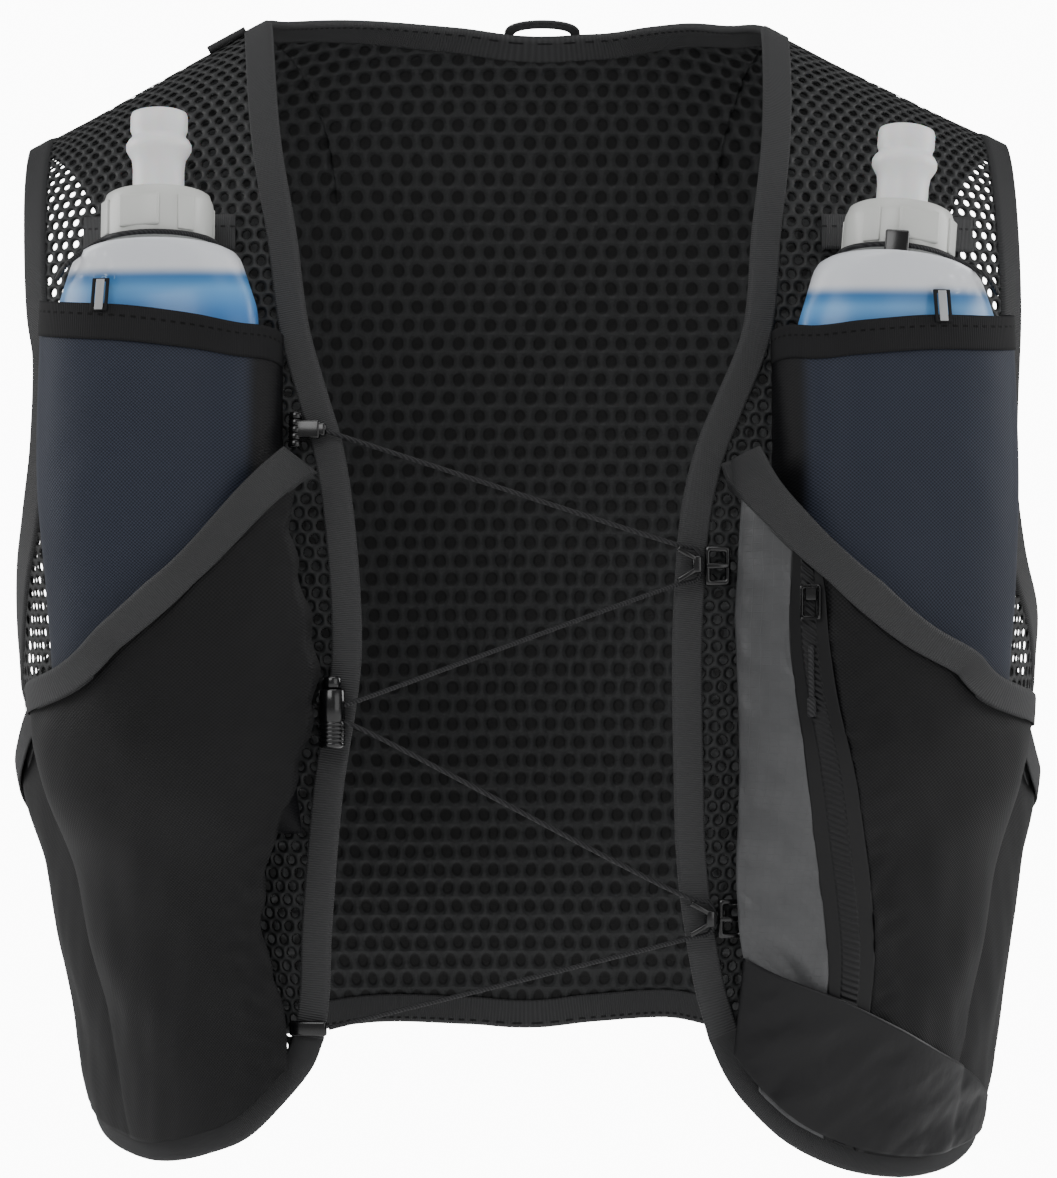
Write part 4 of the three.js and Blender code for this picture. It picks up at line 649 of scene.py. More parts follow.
class Arc:
    """Lengths of cloth round the chest at the height of a flask."""

    def __init__(self, side: Side) -> None:
        self.side = side
        self.turns = list(range(0, 182))
        self.arcs = [0.0]
        for turn in self.turns[1:]:
            here = CHEST.chest_point(side.girth(min(turn, 180)), FLASK_ARC_FALL)
            before = CHEST.chest_point(side.girth(turn - 1), FLASK_ARC_FALL)
            self.arcs.append(self.arcs[-1] + (here - before).length)
        reach = FLASK_PLACE[side][0]
        middle = CHEST.aim(side, reach, FLASK_ARC_FALL / VEST_HEIGHT, lambda spot: FLASK_STANDOFF)
        self.middle = self.at(middle[0])

    def at(self, girth: float) -> float:
        """Length from the front centre to an angle."""
        turn = min(360 - girth if girth > 180 else girth, 180.9)
        index = int(turn)
        return lerp(self.arcs[index], self.arcs[index + 1], turn - index)

    def away(self, spot: Spot) -> float:
        """Distance from the flask's middle, positive towards the armhole."""
        return self.at(spot[0]) - self.middle

    def beside(self, distance: float, fall: float) -> Spot:
        """Spot at a distance from the flask's middle, at a fall."""
        length = self.middle + distance
        index = min(max(bisect_right(self.arcs, length) - 1, 0), len(self.arcs) - 2)
        span = self.arcs[index + 1] - self.arcs[index]
        return self.side.girth(index + (length - self.arcs[index]) / span), fall


ARCS = {side: Arc(side) for side in Side}


def round_length(girth: float) -> float:
    """Length of cloth from the front centre round the left side to an angle."""
    if girth <= 180:
        return ARCS[Side.LEFT].at(girth)
    return ARCS[Side.LEFT].at(180) + ARCS[Side.RIGHT].at(180) - ARCS[Side.RIGHT].at(girth)


def swell(spot: Spot, extra: float, inner: float, outer: float, table: Table) -> float:
    """Share by which a pocket stands out over its flask."""
    away = ARCS[Side.of(spot[0])].away(spot)
    spread = (OUTER_SPREAD if away > 0 else INNER_SPREAD) + extra
    share = min(abs(away) / spread, 1.0)
    return (1 - share**inner) ** outer * table.smooth(spot[1] / VEST_HEIGHT, "share")


def bottle_offset(spot: Spot) -> float:
    """Offset of a bottle pocket's inner face."""
    full = FLASK_STANDOFF + FLASK_HALF_THICKNESS + 1 - POCKET_BASE
    return POCKET_BASE + full * swell(spot, 0, 4, 0.5, BOTTLE_SWELL)


def lower_offset(spot: Spot) -> float:
    """Offset of a lower pocket's inner face."""
    full = FLASK_STANDOFF + FLASK_HALF_THICKNESS + POCKET_WALL + LOWER_CLEARANCE - LOWER_BASE
    return LOWER_BASE + full * swell(spot, 16, 2.5, 0.66, LOWER_SWELL)


def lower_outer(spot: Spot) -> float:
    """Offset of a lower pocket's outer face."""
    return lower_offset(spot) + POCKET_WALL


def folds(spot: Spot, size: float, along: float, angle: float, seed: float) -> float:
    """Smooth folds in a cloth, from -1 to 1, drawn out along a direction.

    Args:
        spot: place on the form.
        size: distance between folds.
        along: how many times longer than wide a fold is.
        angle: direction of the folds from the upright, in degrees.
        seed: picks another set of folds.

    Returns:
        The height of the fold, from about -1 to 1.
    """
    x = ARCS[Side.of(spot[0])].at(spot[0])
    turn = math.radians(angle)
    across = (x * math.cos(turn) + spot[1] * math.sin(turn)) / size
    length = (-x * math.sin(turn) + spot[1] * math.cos(turn)) / (size * along)
    return noise.noise(Vector((across, length, seed))) * 1.6


class Graph:
    """Adds shader nodes to a tree and joins them."""

    def __init__(self, tree: bpy.types.NodeTree) -> None:
        self.tree = tree

    def add(self, kind: str, inputs: Optional[dict] = None, **settings) -> bpy.types.Node:
        """Add a node with its settings and inputs."""
        node = self.tree.nodes.new(kind)
        for name, value in settings.items():
            setattr(node, name, value)
        for name, value in (inputs or {}).items():
            self.feed(node.inputs[name], value)
        return node

    def feed(self, socket: bpy.types.NodeSocket, value) -> None:
        """Join a socket to another one, or give it a value."""
        if isinstance(value, bpy.types.NodeSocket):
            self.tree.links.new(value, socket)
        else:
            socket.default_value = value

    def math(self, operation: str, first, second=0.0, third=0.0) -> bpy.types.NodeSocket:
        """Result of a sum."""
        return self.add(
            "ShaderNodeMath", {0: first, 1: second, 2: third}, operation=operation
        ).outputs[0]

    def ramp(self, value, low: float, high: float) -> bpy.types.NodeSocket:
        """Smooth step from 0 at low to 1 at high."""
        node = self.add(
            "ShaderNodeMapRange", {"Value": value, "From Min": low, "From Max": high},
            interpolation_type="SMOOTHSTEP",
        )
        return node.outputs["Result"]

    def mix(self, factor, first, second) -> bpy.types.NodeSocket:
        """Colour between two."""
        node = self.add("ShaderNodeMix", data_type="RGBA")
        self.feed(node.inputs[0], factor)
        self.feed(node.inputs[6], first)
        self.feed(node.inputs[7], second)
        return node.outputs[2]

    def noise(self, place, scale: float, detail: float = 2.0) -> bpy.types.NodeSocket:
        """Value of smooth noise."""
        return self.add(
            "ShaderNodeTexNoise", {"Vector": place, "Scale": scale, "Detail": detail}
        ).outputs["Fac"]


def group(name: str, inputs: Sequence[str], outputs: Sequence[str]) -> tuple[Graph, dict, dict]:
    """New node group with a place and plain numbers as its inputs.

    Args:
        name: name of the group.
        inputs: names of its numbers.
        outputs: names of its results.

    Returns:
        The group's graph, its input sockets by name and its output sockets by name.
    """
    tree = bpy.data.node_groups.new(name, "ShaderNodeTree")
    tree.interface.new_socket("Place", in_out="INPUT", socket_type="NodeSocketVector")
    for label in inputs:
        tree.interface.new_socket(label, in_out="INPUT", socket_type="NodeSocketFloat")
    for label in outputs:
        tree.interface.new_socket(label, in_out="OUTPUT", socket_type="NodeSocketFloat")
    graph = Graph(tree)
    start = graph.add("NodeGroupInput")
    end = graph.add("NodeGroupOutput")
    return graph, start.outputs, end.inputs


class Weave:
    """Shared effects of the cloths: oval holes, fine threads and ribbed tape."""

    def __init__(self) -> None:
        self.ovals = self._ovals()
        self.threads = self._threads()
        self.ribs = self._ribs()

    @staticmethod
    def _ovals() -> bpy.types.NodeTree:
        """Rows of oval holes, each row half a pitch along."""
        graph, given, wanted = group("Oval holes", ["Pitch", "Width", "Height"], ["Mask", "Rim"])
        place = graph.add("ShaderNodeSeparateXYZ", {0: given["Place"]})
        drift = graph.noise(given["Place"], 60.0, 1.0)
        x = graph.math("DIVIDE", place.outputs["X"], given["Pitch"])
        y = graph.math("DIVIDE", place.outputs["Y"], given["Pitch"])
        x = graph.math("ADD", x, graph.math("MULTIPLY", drift, 0.35))
        y = graph.math("MULTIPLY", y, 1.12)
        row = graph.math("FLOOR", y)
        half = graph.math("MULTIPLY", graph.math("MODULO", graph.math("ABSOLUTE", row), 2.0), 0.5)
        fx = graph.math("SUBTRACT", graph.math("FRACT", graph.math("ADD", x, half)), 0.5)
        fy = graph.math("SUBTRACT", graph.math("FRACT", y), 0.5)
        rx = graph.math("DIVIDE", fx, given["Width"])
        ry = graph.math("DIVIDE", fy, given["Height"])
        square = graph.math("ADD", graph.math("MULTIPLY", rx, rx), graph.math("MULTIPLY", ry, ry))
        radius = graph.math("SQRT", square)
        graph.feed(wanted["Mask"], graph.ramp(radius, 0.82, 1.12))
        graph.feed(wanted["Rim"], graph.ramp(radius, 0.6, 1.7))
        return graph.tree

    @staticmethod
    def _threads() -> bpy.types.NodeTree:
        """Crossing fine threads."""
        graph, given, wanted = group("Fine threads", ["Pitch"], ["Mask"])
        place = graph.add("ShaderNodeSeparateXYZ", {0: given["Place"]})
        waves = []
        for axis in ("X", "Y"):
            turn = graph.math("DIVIDE", place.outputs[axis], given["Pitch"])
            waves.append(graph.math("SINE", graph.math("MULTIPLY", turn, math.tau)))
        both = graph.math("MULTIPLY", waves[0], waves[1])
        graph.feed(wanted["Mask"], graph.math("MULTIPLY_ADD", both, 0.5, 0.5))
        return graph.tree

    @staticmethod
    def _ribs() -> bpy.types.NodeTree:
        """Ribs across a tape and a row of stitches along it."""
        graph, given, wanted = group("Ribbed tape", ["Width"], ["Rib", "Stitch"])
        place = graph.add("ShaderNodeSeparateXYZ", {0: given["Place"]})
        along = graph.math("MULTIPLY", place.outputs["X"], math.tau / 0.0007)
        rib = graph.math("MULTIPLY_ADD", graph.math("SINE", along), 0.5, 0.5)
        graph.feed(wanted["Rib"], rib)
        across = graph.math("DIVIDE", place.outputs["Y"], given["Width"])
        line = graph.math("ABSOLUTE", graph.math("SUBTRACT", across, 0.76))
        row = graph.math("SUBTRACT", 1.0, graph.ramp(line, 0.02, 0.045))
        dash = graph.math("SINE", graph.math("MULTIPLY", place.outputs["X"], math.tau / 0.0031))
        graph.feed(wanted["Stitch"], graph.math("MULTIPLY", row, graph.ramp(dash, -0.3, 0.2)))
        return graph.tree


@dataclass(frozen=True)
class Finish:
    """Look of one kind of cloth or plastic.

    Args:
        slot: material slot of the record.
        base: main colour.
        dark: colour of the holes, or of what lies behind; in the back's hollows it is the black backing with painted
            shade, and in the ripstop it is the shaded end of a painted sheen.
        roughness: roughness of the surface.
        specular: strength of its mirror reflection.
        pattern: none, ovals, net, threads, navy, ribs, zip, ripstop, nylon, braid, film or
            silicone.
        bump: depth of the pattern in metres.
    """

    slot: str
    base: tuple[float, float, float]
    dark: tuple[float, float, float] = (0.002, 0.002, 0.002)
    roughness: float = 0.6
    specular: float = 0.5
    pattern: str = "none"
    bump: float = 0.0002

    def build(self, name: str, weave: Weave) -> bpy.types.Material:
        """Make the material."""
        material = bpy.data.materials.new(name)
        material.use_nodes = True
        graph = Graph(material.node_tree)
        shader = material.node_tree.nodes["Principled BSDF"]
        graph.feed(shader.inputs["Roughness"], self.roughness)
        graph.feed(shader.inputs["Specular IOR Level"], self.specular)
        place = graph.add("ShaderNodeUVMap", uv_map="Cloth").outputs["UV"]
        local = graph.add("ShaderNodeTexCoord").outputs["Object"]
        getattr(self, f"_{self.pattern}")(graph, shader, weave, place, local)
        return material

    def _colour(self, graph: Graph, shader: bpy.types.Node, factor, height=None) -> None:
        """Colour between the dark and the main one, with a relief."""
        dark, base = (*self.dark, 1.0), (*self.base, 1.0)
        graph.feed(shader.inputs["Base Color"], graph.mix(factor, dark, base))
        self._bump(graph, shader, factor if height is None else height)

    def _bump(self, graph: Graph, shader: bpy.types.Node, height) -> None:
        """Relief of a height."""
        bump = graph.add(
            "ShaderNodeBump", {"Height": height, "Distance": self.bump, "Strength": 1.0}
        )
        graph.feed(shader.inputs["Normal"], bump.outputs["Normal"])

    def _use(self, graph: Graph, tree: bpy.types.NodeTree, **inputs) -> bpy.types.Node:
        """Place a shared effect with its own values."""
        node = graph.add("ShaderNodeGroup", node_tree=tree)
        for name, value in inputs.items():
            graph.feed(node.inputs[name], value)
        return node

    def _none(self, graph, shader, weave, place, local) -> None:
        """Plain glossy plastic."""
        graph.feed(shader.inputs["Base Color"], (*self.base, 1.0))
        graph.feed(shader.inputs["Coat Weight"], 0.3)
        graph.feed(shader.inputs["Coat Roughness"], 0.15)

    def _ovals(self, graph, shader, weave, place, local) -> None:
        """Spacer mesh with oval hollows, dark with the black backing behind them and with painted shade."""
        ovals = self._use(graph, weave.ovals, Place=place, Pitch=0.0081, Width=0.3, Height=0.4)
        knit = graph.noise(local, 1600.0, 2.0)
        # The hollows take the dark colour: the black backing behind, darkened further as painted shade.
        rib = graph.math("MULTIPLY", ovals.outputs["Mask"], graph.math("ADD", knit, 0.45))
        height = graph.math("MULTIPLY_ADD", knit, 0.22, ovals.outputs["Rim"])
        self._colour(graph, shader, rib, height)

    def _net(self, graph, shader, weave, place, local) -> None:
        """Open net."""
        ovals = self._use(graph, weave.ovals, Place=place, Pitch=0.0056, Width=0.31, Height=0.36)
        knit = graph.noise(local, 1600.0, 2.0)
        factor = graph.math("MULTIPLY", ovals.outputs["Rim"], graph.math("ADD", knit, 0.45))
        self._colour(graph, shader, factor, ovals.outputs["Rim"])
        graph.feed(shader.inputs["Alpha"], ovals.outputs["Mask"])

    def _threads(self, graph, shader, weave, place, local) -> None:
        """Fine mesh cloth."""
        threads = self._use(graph, weave.threads, Place=place, Pitch=0.0013)
        cloud = graph.noise(local, 22.0, 3.0)
        factor = graph.math("MULTIPLY", threads.outputs["Mask"], graph.math("ADD", cloud, 0.4))
        self._colour(graph, shader, factor, threads.outputs["Mask"])

    def _navy(self, graph, shader, weave, place, local) -> None:
        """Stretch mesh that lets the navy flask show through."""
        threads = self._use(graph, weave.threads, Place=place, Pitch=0.0012)
        behind = graph.add("ShaderNodeAttribute", attribute_name="behind").outputs["Fac"]
        cloud = graph.noise(local, 14.0, 2.0)
        shade = graph.math("MULTIPLY", behind, graph.math("MULTIPLY_ADD", cloud, 0.5, 0.7))
        navy = graph.mix(shade, (*self.dark, 1.0), (*self.base, 1.0))
        weft = graph.math("MULTIPLY_ADD", threads.outputs["Mask"], 0.85, 0.15)
        graph.feed(shader.inputs["Base Color"], graph.mix(weft, (0.003, 0.003, 0.004, 1.0), navy))
        self._bump(graph, shader, threads.outputs["Mask"])

    def _ribs(self, graph, shader, weave, place, local) -> None:
        """Ribbed tape."""
        ribs = self._use(graph, weave.ribs, Place=place, Width=TAPE_WIDTH * MM)
        rib, stitch = ribs.outputs["Rib"], ribs.outputs["Stitch"]
        height = graph.math("SUBTRACT", rib, graph.math("MULTIPLY", stitch, 1.6))
        fade = graph.math("SUBTRACT", 1.0, graph.math("MULTIPLY", stitch, 0.8))
        factor = graph.math("MULTIPLY", graph.math("MULTIPLY_ADD", rib, 0.25, 0.7), fade)
        self._colour(graph, shader, factor, height)

    def _zip(self, graph, shader, weave, place, local) -> None:
        """Zip tape with its coil."""
        spot = graph.add("ShaderNodeSeparateXYZ", {0: place})
        tooth = graph.math("SINE", graph.math("MULTIPLY", spot.outputs["Y"], math.tau / 0.0021))
        line = graph.math("ABSOLUTE", graph.math("SUBTRACT", spot.outputs["X"], 0.0062))
        teeth = graph.math("SUBTRACT", 1.0, graph.ramp(line, 0.0021, 0.0028))
        height = graph.math("MULTIPLY", teeth, graph.math("MULTIPLY_ADD", tooth, 0.5, 0.9))
        weft = graph.math("MULTIPLY", graph.noise(place, 900.0, 1.0), 0.3)
        self._colour(graph, shader, graph.math("MULTIPLY_ADD", height, 0.5, weft), height)

    def _ripstop(self, graph, shader, weave, place, local) -> None:
        """Crinkled ripstop cloth, with a painted sheen that follows the crinkle noise."""
        spot = graph.add("ShaderNodeSeparateXYZ", {0: place})
        lines = []
        for axis in ("X", "Y"):
            cell = graph.math("FRACT", graph.math("DIVIDE", spot.outputs[axis], 0.0027))
            away = graph.math("ABSOLUTE", graph.math("SUBTRACT", cell, 0.5))
            lines.append(graph.ramp(away, 0.42, 0.47))
        grid = graph.math("MAXIMUM", lines[0], lines[1])
        crinkle = graph.noise(local, 120.0, 4.0)
        # Painted sheen: the colour runs from the dark one to the main one with the crinkle noise.
        painted_sheen = graph.math("MULTIPLY_ADD", crinkle, 0.5, 0.5)
        self._colour(graph, shader, painted_sheen, None)
        self._bump(graph, shader, graph.math("MULTIPLY_ADD", grid, 0.1, crinkle))

    def _nylon(self, graph, shader, weave, place, local) -> None:
        """Smooth crinkled cloth."""
        crinkle = graph.noise(local, 90.0, 4.0)
        self._colour(graph, shader, graph.math("MULTIPLY_ADD", crinkle, 0.4, 0.6), crinkle)

    def _braid(self, graph, shader, weave, place, local) -> None:
        """Braided cord."""
        wave = graph.add(
            "ShaderNodeTexWave", {"Vector": local, "Scale": 420.0, "Distortion": 1.0},
            bands_direction="DIAGONAL",
        )
        self._colour(graph, shader, wave.outputs["Fac"], None)

    def _film(self, graph, shader, weave, place, local) -> None:
        """Milky film over water."""
        level = graph.add("ShaderNodeAttribute", attribute_name="water").outputs["Fac"]
        rim = graph.ramp(graph.math("ABSOLUTE", graph.math("SUBTRACT", level, 0.5)), 0.0, 0.16)
        water = graph.ramp(level, 0.47, 0.53)
        deep = graph.ramp(level, 0.55, 1.0)
        blue = graph.mix(deep, (0.13, 0.36, 0.68, 1.0), (*self.base, 1.0))
        colour = graph.mix(water, (*self.dark, 1.0), blue)
        colour = graph.mix(rim, (0.05, 0.2, 0.46, 1.0), colour)
        graph.feed(shader.inputs["Base Color"], colour)
        graph.feed(shader.inputs["Alpha"], graph.math("MULTIPLY_ADD", water, 0.08, 0.9))
        graph.feed(shader.inputs["Coat Weight"], 0.2)
        graph.feed(shader.inputs["Coat Roughness"], 0.3)
        self._bump(graph, shader, graph.noise(local, 28.0, 2.0))

    def _silicone(self, graph, shader, weave, place, local) -> None:
        """Clear silicone."""
        graph.feed(shader.inputs["Base Color"], (*self.base, 1.0))
        graph.feed(shader.inputs["Subsurface Weight"], 0.35)
        graph.feed(shader.inputs["Subsurface Scale"], 0.006)
        graph.feed(shader.inputs["Alpha"], 0.93)


class Look(Enum):
    """Finishes of the vest's pieces."""

    # The back's dark colour fills its hollows: the black backing, darkened further as painted shade.
    BACK = Finish("back_mesh", (0.028, 0.029, 0.03), (0.0008, 0.0008, 0.001), 0.55, 0.3, "ovals", 0.0011)
    NET = Finish("mesh", (0.03, 0.031, 0.032), (0.002, 0.002, 0.002), 0.6, 0.25, "net", 0.0009)
    TAPE = Finish("tape", (0.05, 0.0505, 0.052), (0.003, 0.003, 0.0035), 0.6, 0.2, "ribs", 0.00018)
    BAND = Finish("tape", (0.016, 0.016, 0.017), (0.0015, 0.0015, 0.0015), 0.7, 0.12, "ribs", 0.0001)
    BOTTLE = Finish("stretch", (0.038, 0.046, 0.07), (0.009, 0.009, 0.01), 0.55, 0.15, "navy", 0.0001)
    POCKET = Finish("pocket", (0.0145, 0.0145, 0.0155), (0.002, 0.002, 0.0022), 0.55, 0.18, "threads", 0.00012)
    # The ripstop's dark colour is the shaded end of its painted sheen.
    RIPSTOP = Finish("ripstop", (0.092, 0.093, 0.096), (0.04, 0.041, 0.043), 0.42, 0.3, "ripstop", 0.0006)
    ZIP = Finish("tape", (0.012, 0.012, 0.013), (0.002, 0.002, 0.0025), 0.5, 0.3, "zip", 0.0006)
    NYLON = Finish("nylon", (0.0055, 0.0055, 0.0065), (0.005, 0.005, 0.0055), 0.38, 0.28, "nylon", 0.0005)
    REFLECTIVE = Finish("reflective", (0.36, 0.37, 0.38), roughness=0.4)
    FILM = Finish("film", (0.05, 0.2, 0.5), (0.8, 0.82, 0.86), 0.3, 0.4, "film", 0.0006)
    CAP = Finish("cap", (0.6, 0.61, 0.585), roughness=0.45)
    VALVE = Finish("valve", (0.88, 0.89, 0.9), roughness=0.38, pattern="silicone")
    CORD = Finish("cord", (0.03, 0.03, 0.032), (0.006, 0.006, 0.007), 0.55, 0.3, "braid", 0.0002)
    HARDWARE = Finish("hardware", (0.004, 0.004, 0.0045), roughness=0.2)


@dataclass
class Workshop:
    """What every piece is made with: the materials, by look."""

    materials: dict[Look, bpy.types.Material]

    @classmethod
    def open(cls) -> "Workshop":
        """Make the materials of all the looks."""
        weave = Weave()
        return cls({look: look.value.build(f"{look.name.title()} finish", weave) for look in Look})

    def finish_mesh(self, name: str, bm: bmesh.types.BMesh, look: Look, node: str, body: str = "vest"):
        """Turn a mesh in metres into a named piece that stands for a solid.

        Args:
            name: name of the piece.
            bm: its mesh, which is freed.
            look: its finish.
            node: the solid that it stands for.
            body: the body that it moves with.

        Returns:
            The piece.
        """
        mesh = bpy.data.meshes.new(name)
        bm.normal_update()
        bm.to_mesh(mesh)
        bm.free()
        mesh.shade_smooth()
        mesh.materials.append(self.materials[look])
        piece = bpy.data.objects.new(f"{name}_look", mesh)
        bpy.context.collection.objects.link(piece)
        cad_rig.ride(piece, body)
        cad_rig.replaces(piece, node)
        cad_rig.slot(piece, look.value.slot)
        return piece


@dataclass
class Sheet:
    """A sheet of cloth laid out over a form.

    Args:
        name: name of the piece.
        node: solid that it stands for.
        look: its finish.
        form: form that it lies on.
        spot: spot at shares across and up.
        offset: offset of its outer face.
        cells: cells across and up.
        wall: thickness in millimetres.
        held: how it is held.
        rests_on: what carries it.
        ring: whether its first and last columns meet.
        lengths: its own width and length in millimetres, or none to take them from the form.
        behind: how much of what lies behind shows through at a spot.
    """

    name: str
    node: str
    look: Look
    form: Form
    spot: Callable[[float, float], Spot]
    offset: Callable[[Spot, float, float], float]
    cells: tuple[int, int]
    wall: float
    held: str = "stretched"
    rests_on: tuple[str, ...] = ()
    ring: bool = False
    lengths: Optional[tuple[float, float]] = None
    behind: Optional[Offset] = None

    def build(self, shop: Workshop) -> bpy.types.Object:
        columns, rows = self.cells
        bm = bmesh.new()
        bmesh.ops.create_grid(bm, x_segments=columns, y_segments=rows, size=0.5)
        layer = bm.loops.layers.uv.new("Cloth")
        mask = bm.verts.layers.float.new("behind") if self.behind else None
        place = {}
        for vert in bm.verts:
            across, up = vert.co.x + 0.5, vert.co.y + 0.5
            spot = self.spot(across, up)
            if self.lengths:
                place[vert] = (across * self.lengths[0] * MM, up * self.lengths[1] * MM)
            else:
                level = self.form.down_at(spot[0], LEVEL)
                place[vert] = (round_length(spot[0]) * MM, (level - spot[1]) * MM)
            if mask:
                vert[mask] = self.behind(spot)
            vert.co = self.form.skin(spot, self.offset(spot, across, up)) * MM
        for face in bm.faces:
            for loop in face.loops:
                loop[layer].uv = place[loop.vert]
        area = sum(face.calc_area() for face in bm.faces)
        width, length = self._spans(place)
        if self.ring:
            bmesh.ops.remove_doubles(bm, verts=bm.verts, dist=0.00005)
        piece = shop.finish_mesh(self.name, bm, self.look, self.node)
        solid = piece.modifiers.new("Thickness", "SOLIDIFY")
        solid.thickness = self.wall * MM
        solid.offset = 0.0
        scale = max(1.0, math.sqrt(area / (width * length)))
        flat = (width * scale * 1.001, length * scale * 1.001)
        least = 0.31 * flat[0] * flat[1]
        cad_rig.sheet(
            piece, flat=flat, held=self.held, rests_on=list(self.rests_on),
            area=max(area, least),
        )
        logger.info("%s: %.0f by %.0f mm", self.name, flat[0] / MM, flat[1] / MM)
        return piece

    @staticmethod
    def _spans(place: dict) -> tuple[float, float]:
        """Width and length that the sheet's own coordinates span, in metres."""
        xs = [value[0] for value in place.values()]
        ys = [value[1] for value in place.values()]
        return max(max(xs) - min(xs), LEAST_SPAN), max(max(ys) - min(ys), LEAST_SPAN)


def tape_profile(wrap: float, width: float) -> tuple[float, float]:
    """Distance from the edge and offset of a folded tape, at a share round its fold."""
    middle, radius = (TAPE_OVER + TAPE_UNDER) / 2, (TAPE_OVER - TAPE_UNDER) / 2 - 0.35
    if wrap < FOLD_START:
        return lerp(width, radius, wrap / FOLD_START), middle - radius
    if wrap > FOLD_END:
        return lerp(radius, width, (wrap - FOLD_END) / (1 - FOLD_END)), middle + radius
    angle = math.pi * (wrap - FOLD_START) / (FOLD_END - FOLD_START)
    return radius - radius * math.sin(angle), middle - radius * math.cos(angle)


@dataclass
class Tape:
    """A tape folded over the edge of a cloth.

    Args:
        name: name of the piece.
        node: solid that it stands for.
        form: form that it lies on.
        edge: spots of the edge.
        inward: sign that turns a distance beside the edge into the cloth.
        lift: offset of the cloth under it.
        ring: whether the edge closes on itself.
        width: width of the folded tape in millimetres.
        square_start: whether its first end is cut along the upright.
        square_end: whether its last end is cut along the upright.
    """

    name: str
    node: str
    form: Form
    edge: list[Spot]
    inward: float
    lift: Optional[Offset] = None
    ring: bool = False
    width: float = TAPE_WIDTH
    square_start: bool = False
    square_end: bool = False

    def build(self, shop: Workshop) -> bpy.types.Object:
        edge = self.edge
        inner = self.form.beside(edge, self.inward * self.width, self.ring)
        if self.square_start:
            inner[0] = (edge[0][0], inner[0][1])
        if self.square_end:
            inner[-1] = (edge[-1][0], inner[-1][1])
        if self.ring:
            edge, inner = [*edge, edge[0]], [*inner, inner[0]]
        count = len(edge) - 1
        places = [self.form.point(spot) for spot in edge]
        lengths = [0.0]
        for before, after in zip(places, places[1:]):
            lengths.append(lengths[-1] + (after - before).length)

        def spot(across: float, up: float) -> Spot:
            index = round(across * count)
            distance = tape_profile(up, self.width)[0]
            return between(edge[index], inner[index], distance / self.width)

        def offset(here: Spot, across: float, up: float) -> float:
            return (self.lift(here) if self.lift else 0.0) + tape_profile(up, self.width)[1]

        sheet = Sheet(
            self.name, self.node, Look.TAPE, self.form, spot, offset, (count, 28), 0.7,
            held="folded", ring=self.ring, lengths=(lengths[-1], 2 * self.width),
        )
        return sheet.build(shop)


